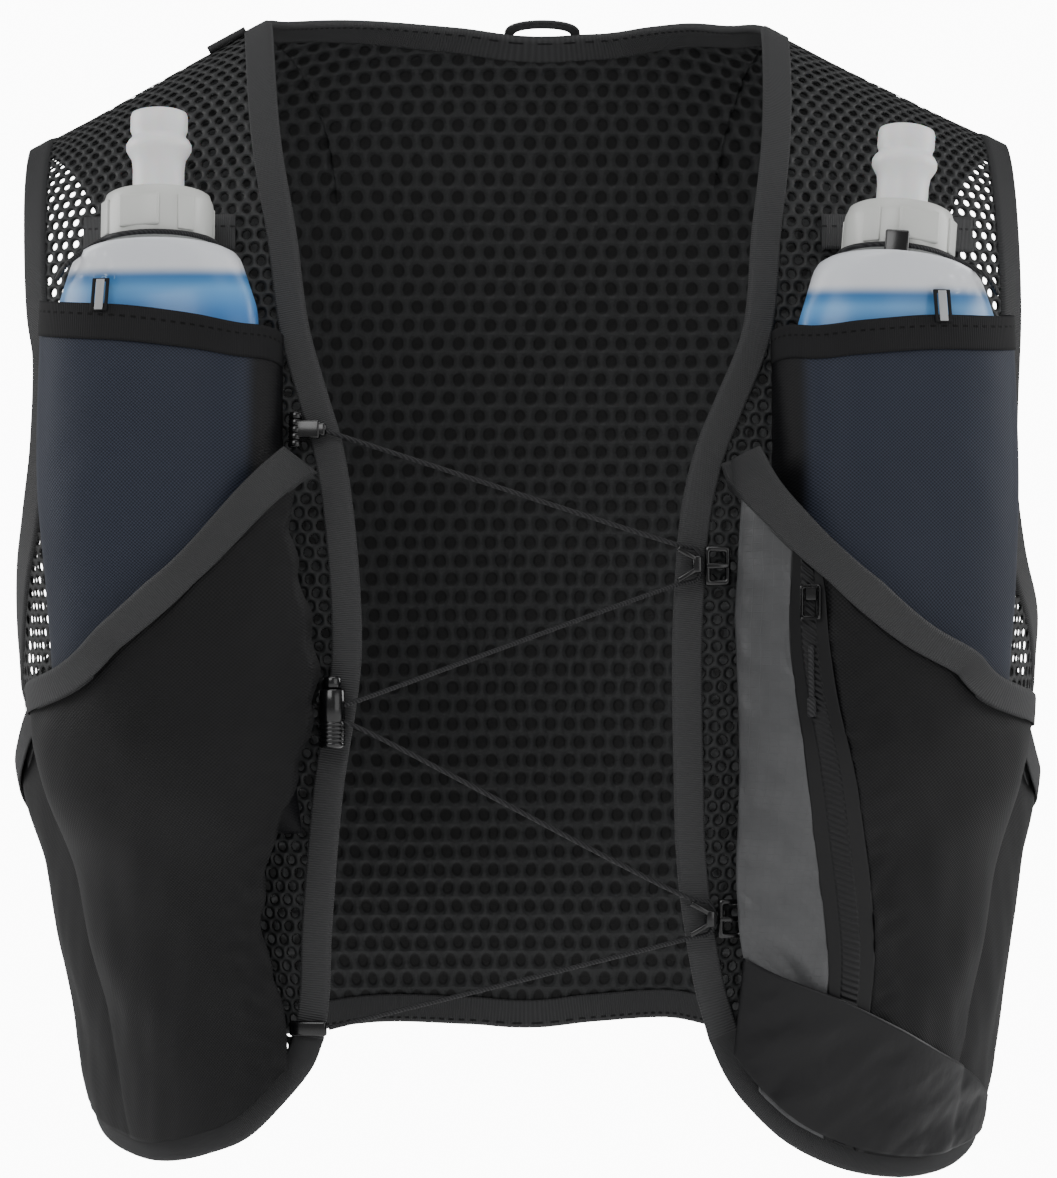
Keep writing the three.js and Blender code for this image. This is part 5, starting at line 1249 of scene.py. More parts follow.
@dataclass
class Shell:
    """The mesh of the vest with its folded tapes: fronts, back, collar and armholes."""

    inset: float = TAPE_WIDTH - TAPE_LAP
    rows: int = 150

    def front_edge(self, side: Side) -> list[Spot]:
        """Edge of a front opening, from the hem's corner up to the shoulder."""
        spots = [
            TORSO_FORM.aim(side, reach, drop, lambda spot: TAPE_OVER / 2)
            for drop, reach in FRONT_EDGE[side]
        ]
        spots[0] = (spots[0][0], SHOULDER_GAP)
        return spots[::-1]

    def front_hem(self, side: Side) -> list[Spot]:
        """Hem of a front from its corner to the side seam."""
        spots = [self.turned(side, drop, turn) for drop, turn in FRONT_HEM[side]]
        return [self.front_edge(side)[0], *spots[1:]]

    @staticmethod
    def turned(side: Side, drop: float, turn: float) -> Spot:
        """Spot of the torso at a drop and a turn from the front centre."""
        girth = side.girth(turn)
        return girth, TORSO_FORM.down_at(girth, drop * VEST_HEIGHT)

    def armhole(self, side: Side) -> tuple[list[Spot], list[Spot]]:
        """Armhole's edge up the front and up the back, both from the side seam."""
        upper = [TORSO_FORM.aim(side, reach, drop) for drop, reach in ARMHOLE_FRONT[side]]
        upper[0] = (upper[0][0], 0.0)
        floor = [self.turned(side, drop, turn) for drop, turn in ARMHOLE_FLOOR]
        front = [*upper, *floor][::-1]
        back = [self.turned(side, drop, turn) for drop, turn in ARMHOLE_BACK]
        back.append((self.behind_tip(side, front[-1][0]), 0.0))
        return smooth_path(front, 80), smooth_path(back, 80)

    @staticmethod
    def behind_tip(side: Side, girth: float) -> float:
        """Angle on the back that meets an angle on the front at the shoulder line."""
        return (540 if side is Side.RIGHT else 180) - girth

    def build(self, shop: Workshop) -> None:
        """Make the fronts, the back and every tape on their edges."""
        arms = {}
        for side in Side:
            arms[side] = self._armhole_tape(side, shop)
            self._front(side, arms[side][0], shop)
        self._back(arms, shop)

    def _armhole_tape(self, side: Side, shop: Workshop) -> tuple[list[Spot], list[Spot]]:
        """Make an armhole's tape and give the mesh edges under it."""
        front, back = self.armhole(side)
        inward = -1.0 if side is Side.RIGHT else 1.0
        ring = [*front, *back[1:-1][::-1]]
        Tape(
            f"armhole_tape_{side.value}", f"armhole_binding_{side.value}", TORSO_FORM, ring,
            -inward, ring=True,
        ).build(shop)
        inner = TORSO_FORM.beside(ring, -inward * self.inset, True)
        front_line = inner[: len(front)]
        back_line = [inner[0], *inner[len(front):][::-1], inner[len(front) - 1]]
        tip = front_line[-1]
        front_line[-1] = (tip[0], SHOULDER_GAP)
        back_line[-1] = (self.behind_tip(side, tip[0]), SHOULDER_GAP)
        return front_line, back_line

    def _front(self, side: Side, arm: list[Spot], shop: Workshop) -> None:
        """Make a front with the tape of its opening and hem."""
        inward = 1.0 if side is Side.RIGHT else -1.0
        edge = smooth_path(self.front_edge(side), 110)
        hem = smooth_path(self.front_hem(side), 70)
        outline = [*edge[::-1], *hem[1:]]
        Tape(
            f"front_tape_{side.value}", f"front_binding_{side.value}", TORSO_FORM, outline,
            -inward, square_end=True,
        ).build(shop)
        rim = TORSO_FORM.beside(outline, -inward * self.inset)
        rim[0] = (rim[0][0], SHOULDER_GAP)
        rim[-1] = (outline[-1][0], rim[-1][1])
        front_line, hem_line = rim[: len(edge)][::-1], rim[len(edge) - 1:]
        seam = SIDE_SEAM_SHARE * (1 - NET_ROOM / NET_LENGTH)
        arm_line = Line([(hem_line[-1][0], arm[0][1]), *arm[1:]])
        front_share = Line(front_line)

        def left(share: float) -> Spot:
            if share < seam:
                return between(hem_line[-1], arm_line.spots[0], share / seam)
            return arm_line((share - seam) / (1 - seam))

        def top(share: float) -> Spot:
            return lerp(front_line[-1][0], left(1)[0], share), SHOULDER_GAP

        spot = coons(front_share, left, Line(hem_line), top)

        def offset(here: Spot, across: float, up: float) -> float:
            return 1.0 + 0.5 * folds(here, 17, 2.0, 20, 3.0) * ease(250, 330, here[1])

        Sheet(
            f"front_mesh_{side.value}", f"front_panel_{side.value}", Look.NET, TORSO_FORM, spot,
            offset, (64, self.rows), 1.2, rests_on=("back_panel",),
        ).build(shop)

    def _back(self, arms: dict[Side, tuple[list[Spot], list[Spot]]], shop: Workshop) -> None:
        """Make the back with the tapes of its hem and collar."""
        hem = [(turn, TORSO_FORM.down_at(turn, drop * VEST_HEIGHT)) for turn, drop in BACK_HEM]
        hem = smooth_path(hem, 150)
        Tape(
            "back_hem_tape", "back_hem_binding", TORSO_FORM, hem, 1.0,
            square_start=True, square_end=True,
        ).build(shop)
        hem_line = TORSO_FORM.beside(hem, self.inset)
        hem_line[0], hem_line[-1] = (hem[0][0], hem_line[0][1]), (hem[-1][0], hem_line[-1][1])
        collar = [
            TORSO_FORM.aim(Side.RIGHT if reach < 0 else Side.LEFT, abs(reach), drop, behind=True)
            for reach, drop in COLLAR_EDGE
        ]
        collar[0], collar[-1] = (collar[0][0], SHOULDER_GAP), (collar[-1][0], SHOULDER_GAP)
        collar = smooth_path(collar[::-1], 110)
        Tape("collar_tape", "collar_binding", TORSO_FORM, collar, -1.0).build(shop)
        collar_line = TORSO_FORM.beside(collar, -self.inset)
        collar_line[0] = (collar_line[0][0], SHOULDER_GAP)
        collar_line[-1] = (collar_line[-1][0], SHOULDER_GAP)
        seam = BACK_SEAM_SHARE
        edges = {}
        for side, foot in ((Side.LEFT, hem_line[0]), (Side.RIGHT, hem_line[-1])):
            arm = Line([(side.girth(SEAM_TURN + 0.5), arms[side][1][0][1]), *arms[side][1][1:]])

            def upright(share: float, foot=foot, arm=arm) -> Spot:
                if share < seam:
                    return between(foot, arm.spots[0], share / seam)
                return arm((share - seam) / (1 - seam))

            edges[side] = upright
        left_tip, right_tip = edges[Side.LEFT](1), edges[Side.RIGHT](1)
        collar_share = Line(collar_line)

        def top(share: float) -> Spot:
            if share < SHOULDER_SHARE:
                return between(left_tip, collar_line[0], share / SHOULDER_SHARE)
            past = share - SHOULDER_SHARE
            if share > 1 - SHOULDER_SHARE:
                past = share - (1 - SHOULDER_SHARE)
                return between(collar_line[-1], right_tip, past / SHOULDER_SHARE)
            return collar_share(past / (1 - 2 * SHOULDER_SHARE))

        spot = coons(edges[Side.LEFT], edges[Side.RIGHT], Line(hem_line), top)

        def offset(here: Spot, across: float, up: float) -> float:
            return 1.0 + 0.9 * folds(here, 60, 1.6, 10, 8.0)

        Sheet(
            "back_mesh", "back_panel", Look.BACK, TORSO_FORM, spot, offset, (150, 150), 1.8,
            rests_on=("back_hem_binding",),
        ).build(shop)


@dataclass
class BottlePocket:
    """A bottle pocket with its hem band."""

    side: Side
    columns: int = 72

    def top(self, across: float) -> float:
        """Fall of the pocket's top edge at a share from the armhole."""
        return VEST_HEIGHT * POCKET_TOP[self.side].smooth(across, "drop")

    def distance(self, share: float) -> float:
        """Distance from the flask's middle of a column."""
        sine = math.sin((1 - 2 * share) * math.pi / 2)
        return sine * (OUTER_SPREAD if sine > 0 else INNER_SPREAD)

    def piece(self, low: Callable[[float], float], high: Callable[[float], float]):
        """Spots between two falls, by shares across and up."""

        def spot(across: float, up: float) -> Spot:
            distance = self.distance(across)
            share = (OUTER_SPREAD - distance) / (OUTER_SPREAD + INNER_SPREAD)
            fall = lerp(low(self.top(share)), high(self.top(share)), up)
            return ARCS[self.side].beside(distance, fall)

        return spot

    def navy(self, spot: Spot) -> float:
        """How much of the filled flask shows through at a spot."""
        away = ARCS[self.side].away(spot)
        sides = ease(-37.5, -34, away) * (1 - ease(38, 43, away))
        return sides * (1 - ease(225, 268, spot[1]))

    def offset(self, spot: Spot, across: float, up: float) -> float:
        """Offset of the pocket's middle face, with its slight folds."""
        ripple = folds(spot, 26, 2.4, 35, 1.0) * 0.5 + folds(spot, 9, 3.0, -30, 2.0) * 0.16
        return bottle_offset(spot) + 0.5 + ripple * 0.8

    def build(self, shop: Workshop) -> None:
        """Make the pocket and its hem."""
        name = self.side.value
        foot = POCKET_FOOT * VEST_HEIGHT
        Sheet(
            f"bottle_pocket_{name}", f"bottle_pocket_{name}", Look.BOTTLE, CHEST,
            self.piece(lambda top: foot, lambda top: top + BAND_HEIGHT - 1), self.offset,
            (self.columns, 110), 0.7, rests_on=(f"front_panel_{name}",), behind=self.navy,
        ).build(shop)
        Sheet(
            f"bottle_pocket_hem_{name}", f"bottle_pocket_hem_{name}", Look.BAND, CHEST,
            self.piece(lambda top: top + BAND_HEIGHT, lambda top: top),
            lambda spot, across, up: bottle_offset(spot) + 0.9, (self.columns, 10), 1.4,
            rests_on=(f"bottle_pocket_{name}",), lengths=(120.0, BAND_HEIGHT),
        ).build(shop)


@dataclass
class LowerPockets:
    """The lower pockets: slanting tapes, gathered right pocket, and the left one with its zip."""

    hems: dict[Side, list[Spot]]

    @staticmethod
    def on_chest(spot: Spot) -> Spot:
        """Spot of the chest at a spot of the torso."""
        return spot[0], -TORSO_FORM.point(spot).z

    @staticmethod
    def aimed(side: Side, rows: Iterable[Sequence[float]], reach_first: bool = False) -> list[Spot]:
        """Spots of rows of drop and reach, on the pocket's outer face."""
        pairs = ((drop, reach) for reach, drop in rows) if reach_first else rows
        return [CHEST.aim(side, reach, drop, lower_outer) for drop, reach in pairs]

    def slant(self, side: Side, shop: Workshop) -> list[Spot]:
        """Make the slanting tape and find the line under its lower edge."""
        spots = self.aimed(side, SLANT_EDGE[side], reach_first=True)
        drop, turn = SLANT_END
        spots.append((side.girth(turn), drop * VEST_HEIGHT))
        edge = smooth_path(spots, 110)
        sign = 1.0 if side is Side.RIGHT else -1.0
        Tape(
            f"slanting_tape_{side.value}", f"lower_pocket_binding_{side.value}", CHEST, edge,
            sign, lift=lambda spot: lower_offset(spot) - TAPE_UNDER, square_end=True,
        ).build(shop)
        return CHEST.beside(edge, sign * (TAPE_WIDTH - TAPE_LAP))

    def region(self, side: Side, top_line: list[Spot], inner: list[Spot], outer: list[Spot]):
        """Spots between the hem and the slanting tape, from an inner to an outer line."""
        hem = self.hem_line(side)
        edges = []
        for spots in (inner, outer):
            foot = down_at_girth(hem, spots[0][0])
            head = down_at_girth(top_line, spots[-1][0])
            middle = [s for s in spots[1:-1] if head[1] + 6 < s[1] < foot[1] - 6]
            edges.append(Line(smooth_path([foot, *middle, head], 80)))
        low, high = edges

        def along(line: list[Spot], start: float, end: float) -> Edge:
            return lambda share: down_at_girth(line, lerp(start, end, share))

        bottom = along(hem, low(0)[0], high(0)[0])
        top = along(top_line, low(1)[0], high(1)[0])
        return coons(low, high, bottom, top)

    def hem_line(self, side: Side) -> list[Spot]:
        """Lower edge of a pocket, which leaves the hem's tape in sight."""
        spots = [self.on_chest(spot) for spot in self.hems[side]]
        return [(girth, fall - TAPE_WIDTH + TAPE_LAP) for girth, fall in spots]

    def side_seam(self, side: Side) -> list[Spot]:
        """Side seam of the pocket, from the hem to the slanting tape."""
        foot = self.hem_line(side)[-1]
        return [foot, (foot[0], SLANT_END[0] * VEST_HEIGHT)]

    @staticmethod
    def soft(here: Spot, across: float, up: float) -> float:
        """Offset of the soft pocket cloth with its folds and its gathered inner edge."""
        gather = (1 - ease(0.0, 0.13, across)) * folds(here, 5.5, 1.2, 60, 12.0) * 1.1
        broad = folds(here, 30, 2.4, 28, 5.0) * 1.3 * ease(0.0, 0.2, up)
        small = folds(here, 9, 3.2, -24, 6.0) * 0.35
        return lower_offset(here) + 0.5 + broad + small + gather

    def build(self, shop: Workshop) -> None:
        """Make every piece of the lower pockets."""
        self._right(shop)
        self._left(shop)

    def _right(self, shop: Workshop) -> None:
        """Make the right pocket with its gathered inner edge."""
        side = Side.RIGHT
        line = self.slant(side, shop)
        inner = self.aimed(side, LOWER_INNER[side])[::-1]
        wavy = [
            (spot[0] + 0.28 * math.sin(index * 1.7), spot[1])
            for index, spot in enumerate(smooth_path(inner, 34))
        ]
        spot = self.region(side, line, wavy, self.side_seam(side))
        Sheet(
            "lower_pocket_right", "lower_pocket_right", Look.POCKET, CHEST, spot, self.soft,
            (110, 110), 0.7, held="gathered", rests_on=("front_panel_right",),
        ).build(shop)

    def _left(self, shop: Workshop) -> None:
        """Make the left pocket with its ripstop panel, zip and overlay."""
        side = Side.LEFT
        line = self.slant(side, shop)
        inner = self.aimed(side, LOWER_INNER[side])[::-1]
        ripstop = self.aimed(side, RIPSTOP_SEAM)[::-1]
        zip_line = self.aimed(side, ZIP_SEAM)[::-1]

        def pulled(here: Spot, across: float, up: float) -> float:
            drawn = folds(here, 11.0, 4.0, -58, 21.0) * 2.4 + folds(here, 4.6, 3.0, -44, 22.0) * 0.7
            return lower_offset(here) + 0.6 + drawn * ease(0, 0.15, 0.5 - abs(across - 0.5) + 0.05)

        def flat(here: Spot, across: float, up: float) -> float:
            return lower_offset(here) + 0.55 + 0.35 * math.sin(math.pi * across)

        Sheet(
            "ripstop_panel", "ripstop_panel", Look.RIPSTOP, CHEST,
            self.region(side, line, inner, ripstop), pulled, (44, 170), 0.6,
            rests_on=("front_panel_left",),
        ).build(shop)
        Sheet(
            "zip_strip", "zip_tape", Look.ZIP, CHEST, self.region(side, line, ripstop, zip_line),
            flat, (20, 150), 0.9, rests_on=("front_panel_left",), lengths=(13.0, 190.0),
        ).build(shop)
        Sheet(
            "lower_pocket_left", "lower_pocket_left", Look.POCKET, CHEST,
            self.region(side, line, zip_line, self.side_seam(side)), self.soft, (90, 110), 0.7,
            rests_on=("front_panel_left",),
        ).build(shop)
        self._overlay(shop)

    def _overlay(self, shop: Workshop) -> None:
        """Make the smooth overlay above the hem."""
        side = Side.LEFT
        hem = self.hem_line(side)
        top = Line(smooth_path(self.aimed(side, OVERLAY_EDGE, reach_first=True), 60))

        def spot(across: float, up: float) -> Spot:
            high = top(across)
            low = down_at_girth(hem, high[0])
            return high[0], lerp(low[1] - 1, high[1], up)

        def offset(here: Spot, across: float, up: float) -> float:
            crease = folds(here, 11, 2.6, 64, 31.0) * 0.8 + folds(here, 4.2, 3.0, 50, 32.0) * 0.2
            return lower_offset(here) + 3.0 + crease * ease(0, 0.25, 1 - up) * ease(0, 0.1, across)

        Sheet(
            "hem_overlay", "hem_overlay", Look.NYLON, CHEST, spot, offset, (90, 36), 0.6,
            rests_on=("lower_pocket_left",),
        ).build(shop)


def frame_on(surface: Callable[[Spot], Vector], spot: Spot) -> Matrix:
    """Frame on a surface: across to the viewer's right, up, and out, in millimetres."""
    east = surface((spot[0] + 1, spot[1]))
    south = surface((spot[0], spot[1] + 2))
    here = surface(spot)
    out = (south - here).cross(east - here).normalized()
    up = (Vector((0, 0, 1)) - out * out.z).normalized()
    return basis(up.cross(out), up, out, here)


def basis(x: Vector, y: Vector, z: Vector, origin: Vector) -> Matrix:
    """Matrix of three axes and an origin."""
    return Matrix((
        (x.x, y.x, z.x, origin.x),
        (x.y, y.y, z.y, origin.y),
        (x.z, y.z, z.z, origin.z),
        (0, 0, 0, 1),
    ))


def tape_frame(side: Side, reach: float, drop: float) -> Matrix:
    """Frame on the front tape at a reach and a drop."""
    spot = TORSO_FORM.aim(side, reach, drop, lambda here: TAPE_OVER)
    return frame_on(lambda here: TORSO_FORM.skin(here, TAPE_OVER), spot)


def pocket_frame(side: Side, reach: float, drop: float) -> Matrix:
    """Frame on a lower pocket at a reach and a drop."""
    spot = CHEST.aim(side, reach, drop, lower_outer)
    return frame_on(lambda here: CHEST.skin(here, lower_outer(here)), spot)


def neck_frame(side: Side) -> Matrix:
    """Frame on a flask's neck, with its up axis along the neck."""
    _, neck, lean = FLASK_PLACE[side]
    spot = ARCS[side].beside(0, neck * VEST_HEIGHT)
    out = CHEST.outward(spot)
    up = -CHEST.along_down(spot)
    up.rotate(Matrix.Rotation(-math.radians(lean), 3, out))
    across = up.cross(out).normalized()
    return basis(across, up, out, CHEST.skin(spot, FLASK_STANDOFF))


class Parts:
    """Hard pieces, built in millimetres on a frame and then turned into metres."""

    @staticmethod
    def place(bm: bmesh.types.BMesh, matrix: Matrix) -> bmesh.types.BMesh:
        """Move a mesh in millimetres onto a frame, in metres."""
        bmesh.ops.transform(bm, matrix=Matrix.Scale(MM, 4) @ matrix, verts=bm.verts)
        bmesh.ops.recalc_face_normals(bm, faces=bm.faces)
        return bm

    @staticmethod
    def block(size: Triple, at: Triple, round_by: float) -> bmesh.types.BMesh:
        """Block with rounded edges."""
        bm = bmesh.new()
        bmesh.ops.create_cube(bm, size=1.0, matrix=Matrix.LocRotScale(at, None, size))
        bmesh.ops.bevel(
            bm, geom=bm.edges, offset=round_by, segments=3, profile=0.5, affect="EDGES", material=-1
        )
        return bm

    @staticmethod
    def window(size: Triple, at: Triple, band: float, round_by: float) -> bmesh.types.BMesh:
        """Block with a window through its broad side."""
        bm = bmesh.new()
        bmesh.ops.create_cube(bm, size=1.0, matrix=Matrix.LocRotScale(at, None, size))
        bm.faces.ensure_lookup_table()
        broad = [face for face in bm.faces if abs(face.normal.z) > 0.9]
        bmesh.ops.inset_individual(bm, faces=broad, thickness=band)
        loops = [edge for face in broad for edge in face.edges]
        bmesh.ops.delete(bm, geom=broad, context="FACES_ONLY")
        bmesh.ops.bridge_loops(bm, edges=loops)
        bmesh.ops.bevel(
            bm, geom=bm.edges, offset=round_by, segments=2, profile=0.5, affect="EDGES", material=-1
        )
        return bm

    @staticmethod
    def turned(outline: Sequence[Spot], foot: float = 0.0, steps: int = 64) -> bmesh.types.BMesh:
        """Solid turned round its up axis, from radii and heights in millimetres."""
        bm = bmesh.new()
        verts = [bm.verts.new((radius, foot + height, 0.0)) for radius, height in outline]
        edges = [bm.edges.new(pair) for pair in zip(verts, verts[1:])]
        bmesh.ops.spin(
            bm, geom=[*verts, *edges], cent=(0, 0, 0), axis=(0, 1, 0), angle=math.tau,
            steps=steps, use_merge=True,
        )
        bmesh.ops.remove_doubles(bm, verts=bm.verts, dist=0.001)
        return bm

    @staticmethod
    def merged(*solids: bmesh.types.BMesh) -> bmesh.types.BMesh:
        """One mesh of several solids."""
        whole = bmesh.new()
        for solid in solids:
            mesh = bpy.data.meshes.new("part")
            solid.to_mesh(mesh)
            whole.from_mesh(mesh)
            bpy.data.meshes.remove(mesh)
            solid.free()
        return whole


@dataclass
class Flask:
    """A filled soft flask with its cap, valve, retaining cord and the strap behind it."""

    side: Side
    water_drop: float
    facets: int = 96

    def build(self, shop: Workshop) -> None:
        """Make the flask's pieces."""
        name = self.side.value
        self._body(shop, name)
        matrix = neck_frame(self.side)
        cap = Parts.turned([(r * CAP_RADIUS, h * CAP_HEIGHT) for r, h in CAP_OUTLINE], steps=80)
        badge = Parts.block((16.0, 12.5, 2.2), (0, 11.6, CAP_RADIUS - 0.6), 1.0)
        lugs = [self._lug(turn) for turn in (50, 130, 230, 310)]
        shop.finish_mesh(
            f"flask_cap_{name}", Parts.place(Parts.merged(cap, badge, *lugs), matrix), Look.CAP,
            f"flask_cap_{name}", f"cap_{name}",
        )
        outline = [(r * VALVE_RADIUS, h * VALVE_HEIGHT) for r, h in VALVE_OUTLINE]
        shop.finish_mesh(
            f"bite_valve_{name}", Parts.place(Parts.turned(outline, CAP_HEIGHT + 0.2), matrix),
            Look.VALVE, f"flask_valve_{name}", f"cap_{name}",
        )
        self._cord(shop, name, matrix)
        self._strap(shop, name)
        self._loop(shop, name)

    @staticmethod
    def _lug(turn: float) -> bmesh.types.BMesh:
        """Grip on the cap at a turn."""
        bm = Parts.block((7.0, 13.5, 1.2), (0, 11.0, CAP_RADIUS), 0.5)
        turned = Matrix.Rotation(math.radians(turn), 3, "Y")
        bmesh.ops.rotate(bm, cent=(0, 0, 0), matrix=turned, verts=bm.verts)
        return bm

    def _body(self, shop: Workshop, name: str) -> None:
        """Make the filled film body."""
        arc = ARCS[self.side]
        neck = FLASK_PLACE[self.side][1] * VEST_HEIGHT
        matrix = neck_frame(self.side)
        bm = bmesh.new()
        bmesh.ops.create_grid(bm, x_segments=self.facets, y_segments=90, size=0.5)
        level = bm.verts.layers.float.new("water")
        for vert in bm.verts:
            angle, rise = (vert.co.x + 0.5) * math.tau, vert.co.y + 0.5
            width = FLASK_HALF_WIDTH * FLASK_SECTIONS.smooth(rise, "width")
            thick = FLASK_HALF_THICKNESS * FLASK_SECTIONS.smooth(rise, "thickness")
            fall = neck + FLASK_LENGTH * (1 - rise)
            offset = FLASK_STANDOFF + thick * math.sin(angle)
            skin = CHEST.skin(arc.beside(width * math.cos(angle), fall), offset)
            across = self.side.sign * width * math.cos(angle)
            round_neck = matrix @ Vector((across, -0.4, width * math.sin(angle)))
            blend = ease(0.9, 1.0, rise)
            vert.co = skin.lerp(round_neck, blend) if blend else skin
            drop = self.water_drop * VEST_HEIGHT
            vert[level] = min(max(0.5 + (-vert.co.z - drop) / 30.0, 0.0), 1.0)
        bmesh.ops.remove_doubles(bm, verts=bm.verts, dist=0.01)
        rims = [edge for edge in bm.edges if edge.is_boundary]
        bmesh.ops.holes_fill(bm, edges=rims, sides=0)
        body = Parts.place(bm, Matrix.Identity(4))
        shop.finish_mesh(f"soft_flask_{name}", body, Look.FILM, f"flask_body_{name}")

    def _cord(self, shop: Workshop, name: str, matrix: Matrix) -> None:
        """Make the cord round the neck, with its toggle on the left flask."""
        start, end = (135, -150) if self.side is Side.RIGHT else (45, 330)
        top = VEST_HEIGHT * POCKET_TOP[self.side].rows[0][1]
        radius = CAP_RADIUS + 1.4
        points = [
            CHEST.skin(ARCS[self.side].beside(31, top - 3.5), FLASK_STANDOFF + 12.5),
            CHEST.skin(ARCS[self.side].beside(24, top - 8), FLASK_STANDOFF + 19),
        ]
        for index in range(13):
            turn = math.radians(lerp(start, end, index / 12))
            points.append(matrix @ Vector((radius * math.cos(turn), 2.4, radius * math.sin(turn))))
        Cord(f"flask_cord_{name}", f"flask_cord_{name}", points, 1.0).build(shop)
        if self.side is Side.LEFT:
            turn = math.radians(112)
            at = Matrix.Translation(Vector((radius * math.cos(turn), 2.4, radius * math.sin(turn))))
            block = Parts.block((9.0, 10.0, 4.4), (0, 0, 1.0), 0.9)
            spun = matrix @ at @ Matrix.Rotation(math.pi / 2 - turn, 4, "Y")
            shop.finish_mesh("cord_toggle", Parts.place(block, spun), Look.HARDWARE, "flask_cord_toggle")

    def _strap(self, shop: Workshop, name: str) -> None:
        """Make the strap on the shoulder mesh."""
        low = TORSO_FORM.aim(self.side, 0.55, 0.15)
        high = TORSO_FORM.aim(self.side, 0.84, 0.15)

        def spot(across: float, up: float) -> Spot:
            girth = lerp(low[0], high[0], across)
            return girth, TORSO_FORM.down_at(girth, VEST_HEIGHT * lerp(0.165, 0.135, up))

        Sheet(
            f"flask_strap_{name}", f"flask_strap_{name}", Look.TAPE, TORSO_FORM, spot,
            lambda here, across, up: 2.7, (40, 8), 0.8, rests_on=(f"front_panel_{name}",),
            lengths=(60.0, 13.0),
        ).build(shop)

    def _loop(self, shop: Workshop, name: str) -> None:
        """Make the reflective loop with its dark edges."""
        share = 0.39 if self.side is Side.RIGHT else 0.44
        distance = lerp(OUTER_SPREAD, -INNER_SPREAD, share)
        top = VEST_HEIGHT * POCKET_TOP[self.side].smooth(share, "drop")
        spot = ARCS[self.side].beside(distance, top)
        matrix = frame_on(lambda here: CHEST.skin(here, bottle_offset(here) + 1.6), spot)
        node = f"reflective_loop_{name}"
        stripe = Parts.block((3.4, 11.6, 0.6), (0, 3.2, 1.1), 0.2)
        edge = Parts.window((7.0, 12.4, 0.8), (0, 3.2, 0.8), 1.9, 0.3)
        for label, solid, look in (("loop", stripe, Look.REFLECTIVE), ("edge", edge, Look.BAND)):
            piece = shop.finish_mesh(
                f"reflective_{label}_{name}", Parts.place(solid, matrix), look, node
            )
            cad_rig.sheet(
                piece, flat=(0.0101, 0.0125), held="folded", area=0.00005,
                rests_on=[f"bottle_pocket_hem_{name}"],
            )


@dataclass
class Cord:
    """A round cord along a route."""

    name: str
    node: str
    points: list[Vector]
    radius: float
    step: float = 1.2

    def build(self, shop: Workshop) -> bpy.types.Object:
        """Make the cord as a smooth tube."""
        dense = curve(self.points, lambda length: max(4, int(length / self.step)))
        bm = bmesh.new()
        bmesh.ops.create_grid(bm, x_segments=12, y_segments=len(dense) - 1, size=0.5)
        up = Vector((0.0, 0.3, 1.0)).normalized()
        for vert in bm.verts:
            turn = (vert.co.x + 0.5) * math.tau
            index = round((vert.co.y + 0.5) * (len(dense) - 1))
            along = dense[min(index + 1, len(dense) - 1)] - dense[max(index - 1, 0)]
            side = along.cross(up).normalized()
            other = side.cross(along).normalized()
            vert.co = dense[index] + (side * math.cos(turn) + other * math.sin(turn)) * self.radius
        bmesh.ops.remove_doubles(bm, verts=bm.verts, dist=0.02)
        bmesh.ops.holes_fill(bm, edges=[e for e in bm.edges if e.is_boundary], sides=0)
        body = Parts.place(bm, Matrix.Identity(4))
        logger.info("%s: %.0f mm", self.name, sum((b - a).length for a, b in zip(dense, dense[1:])))
        return shop.finish_mesh(self.name, body, Look.CORD, self.node)


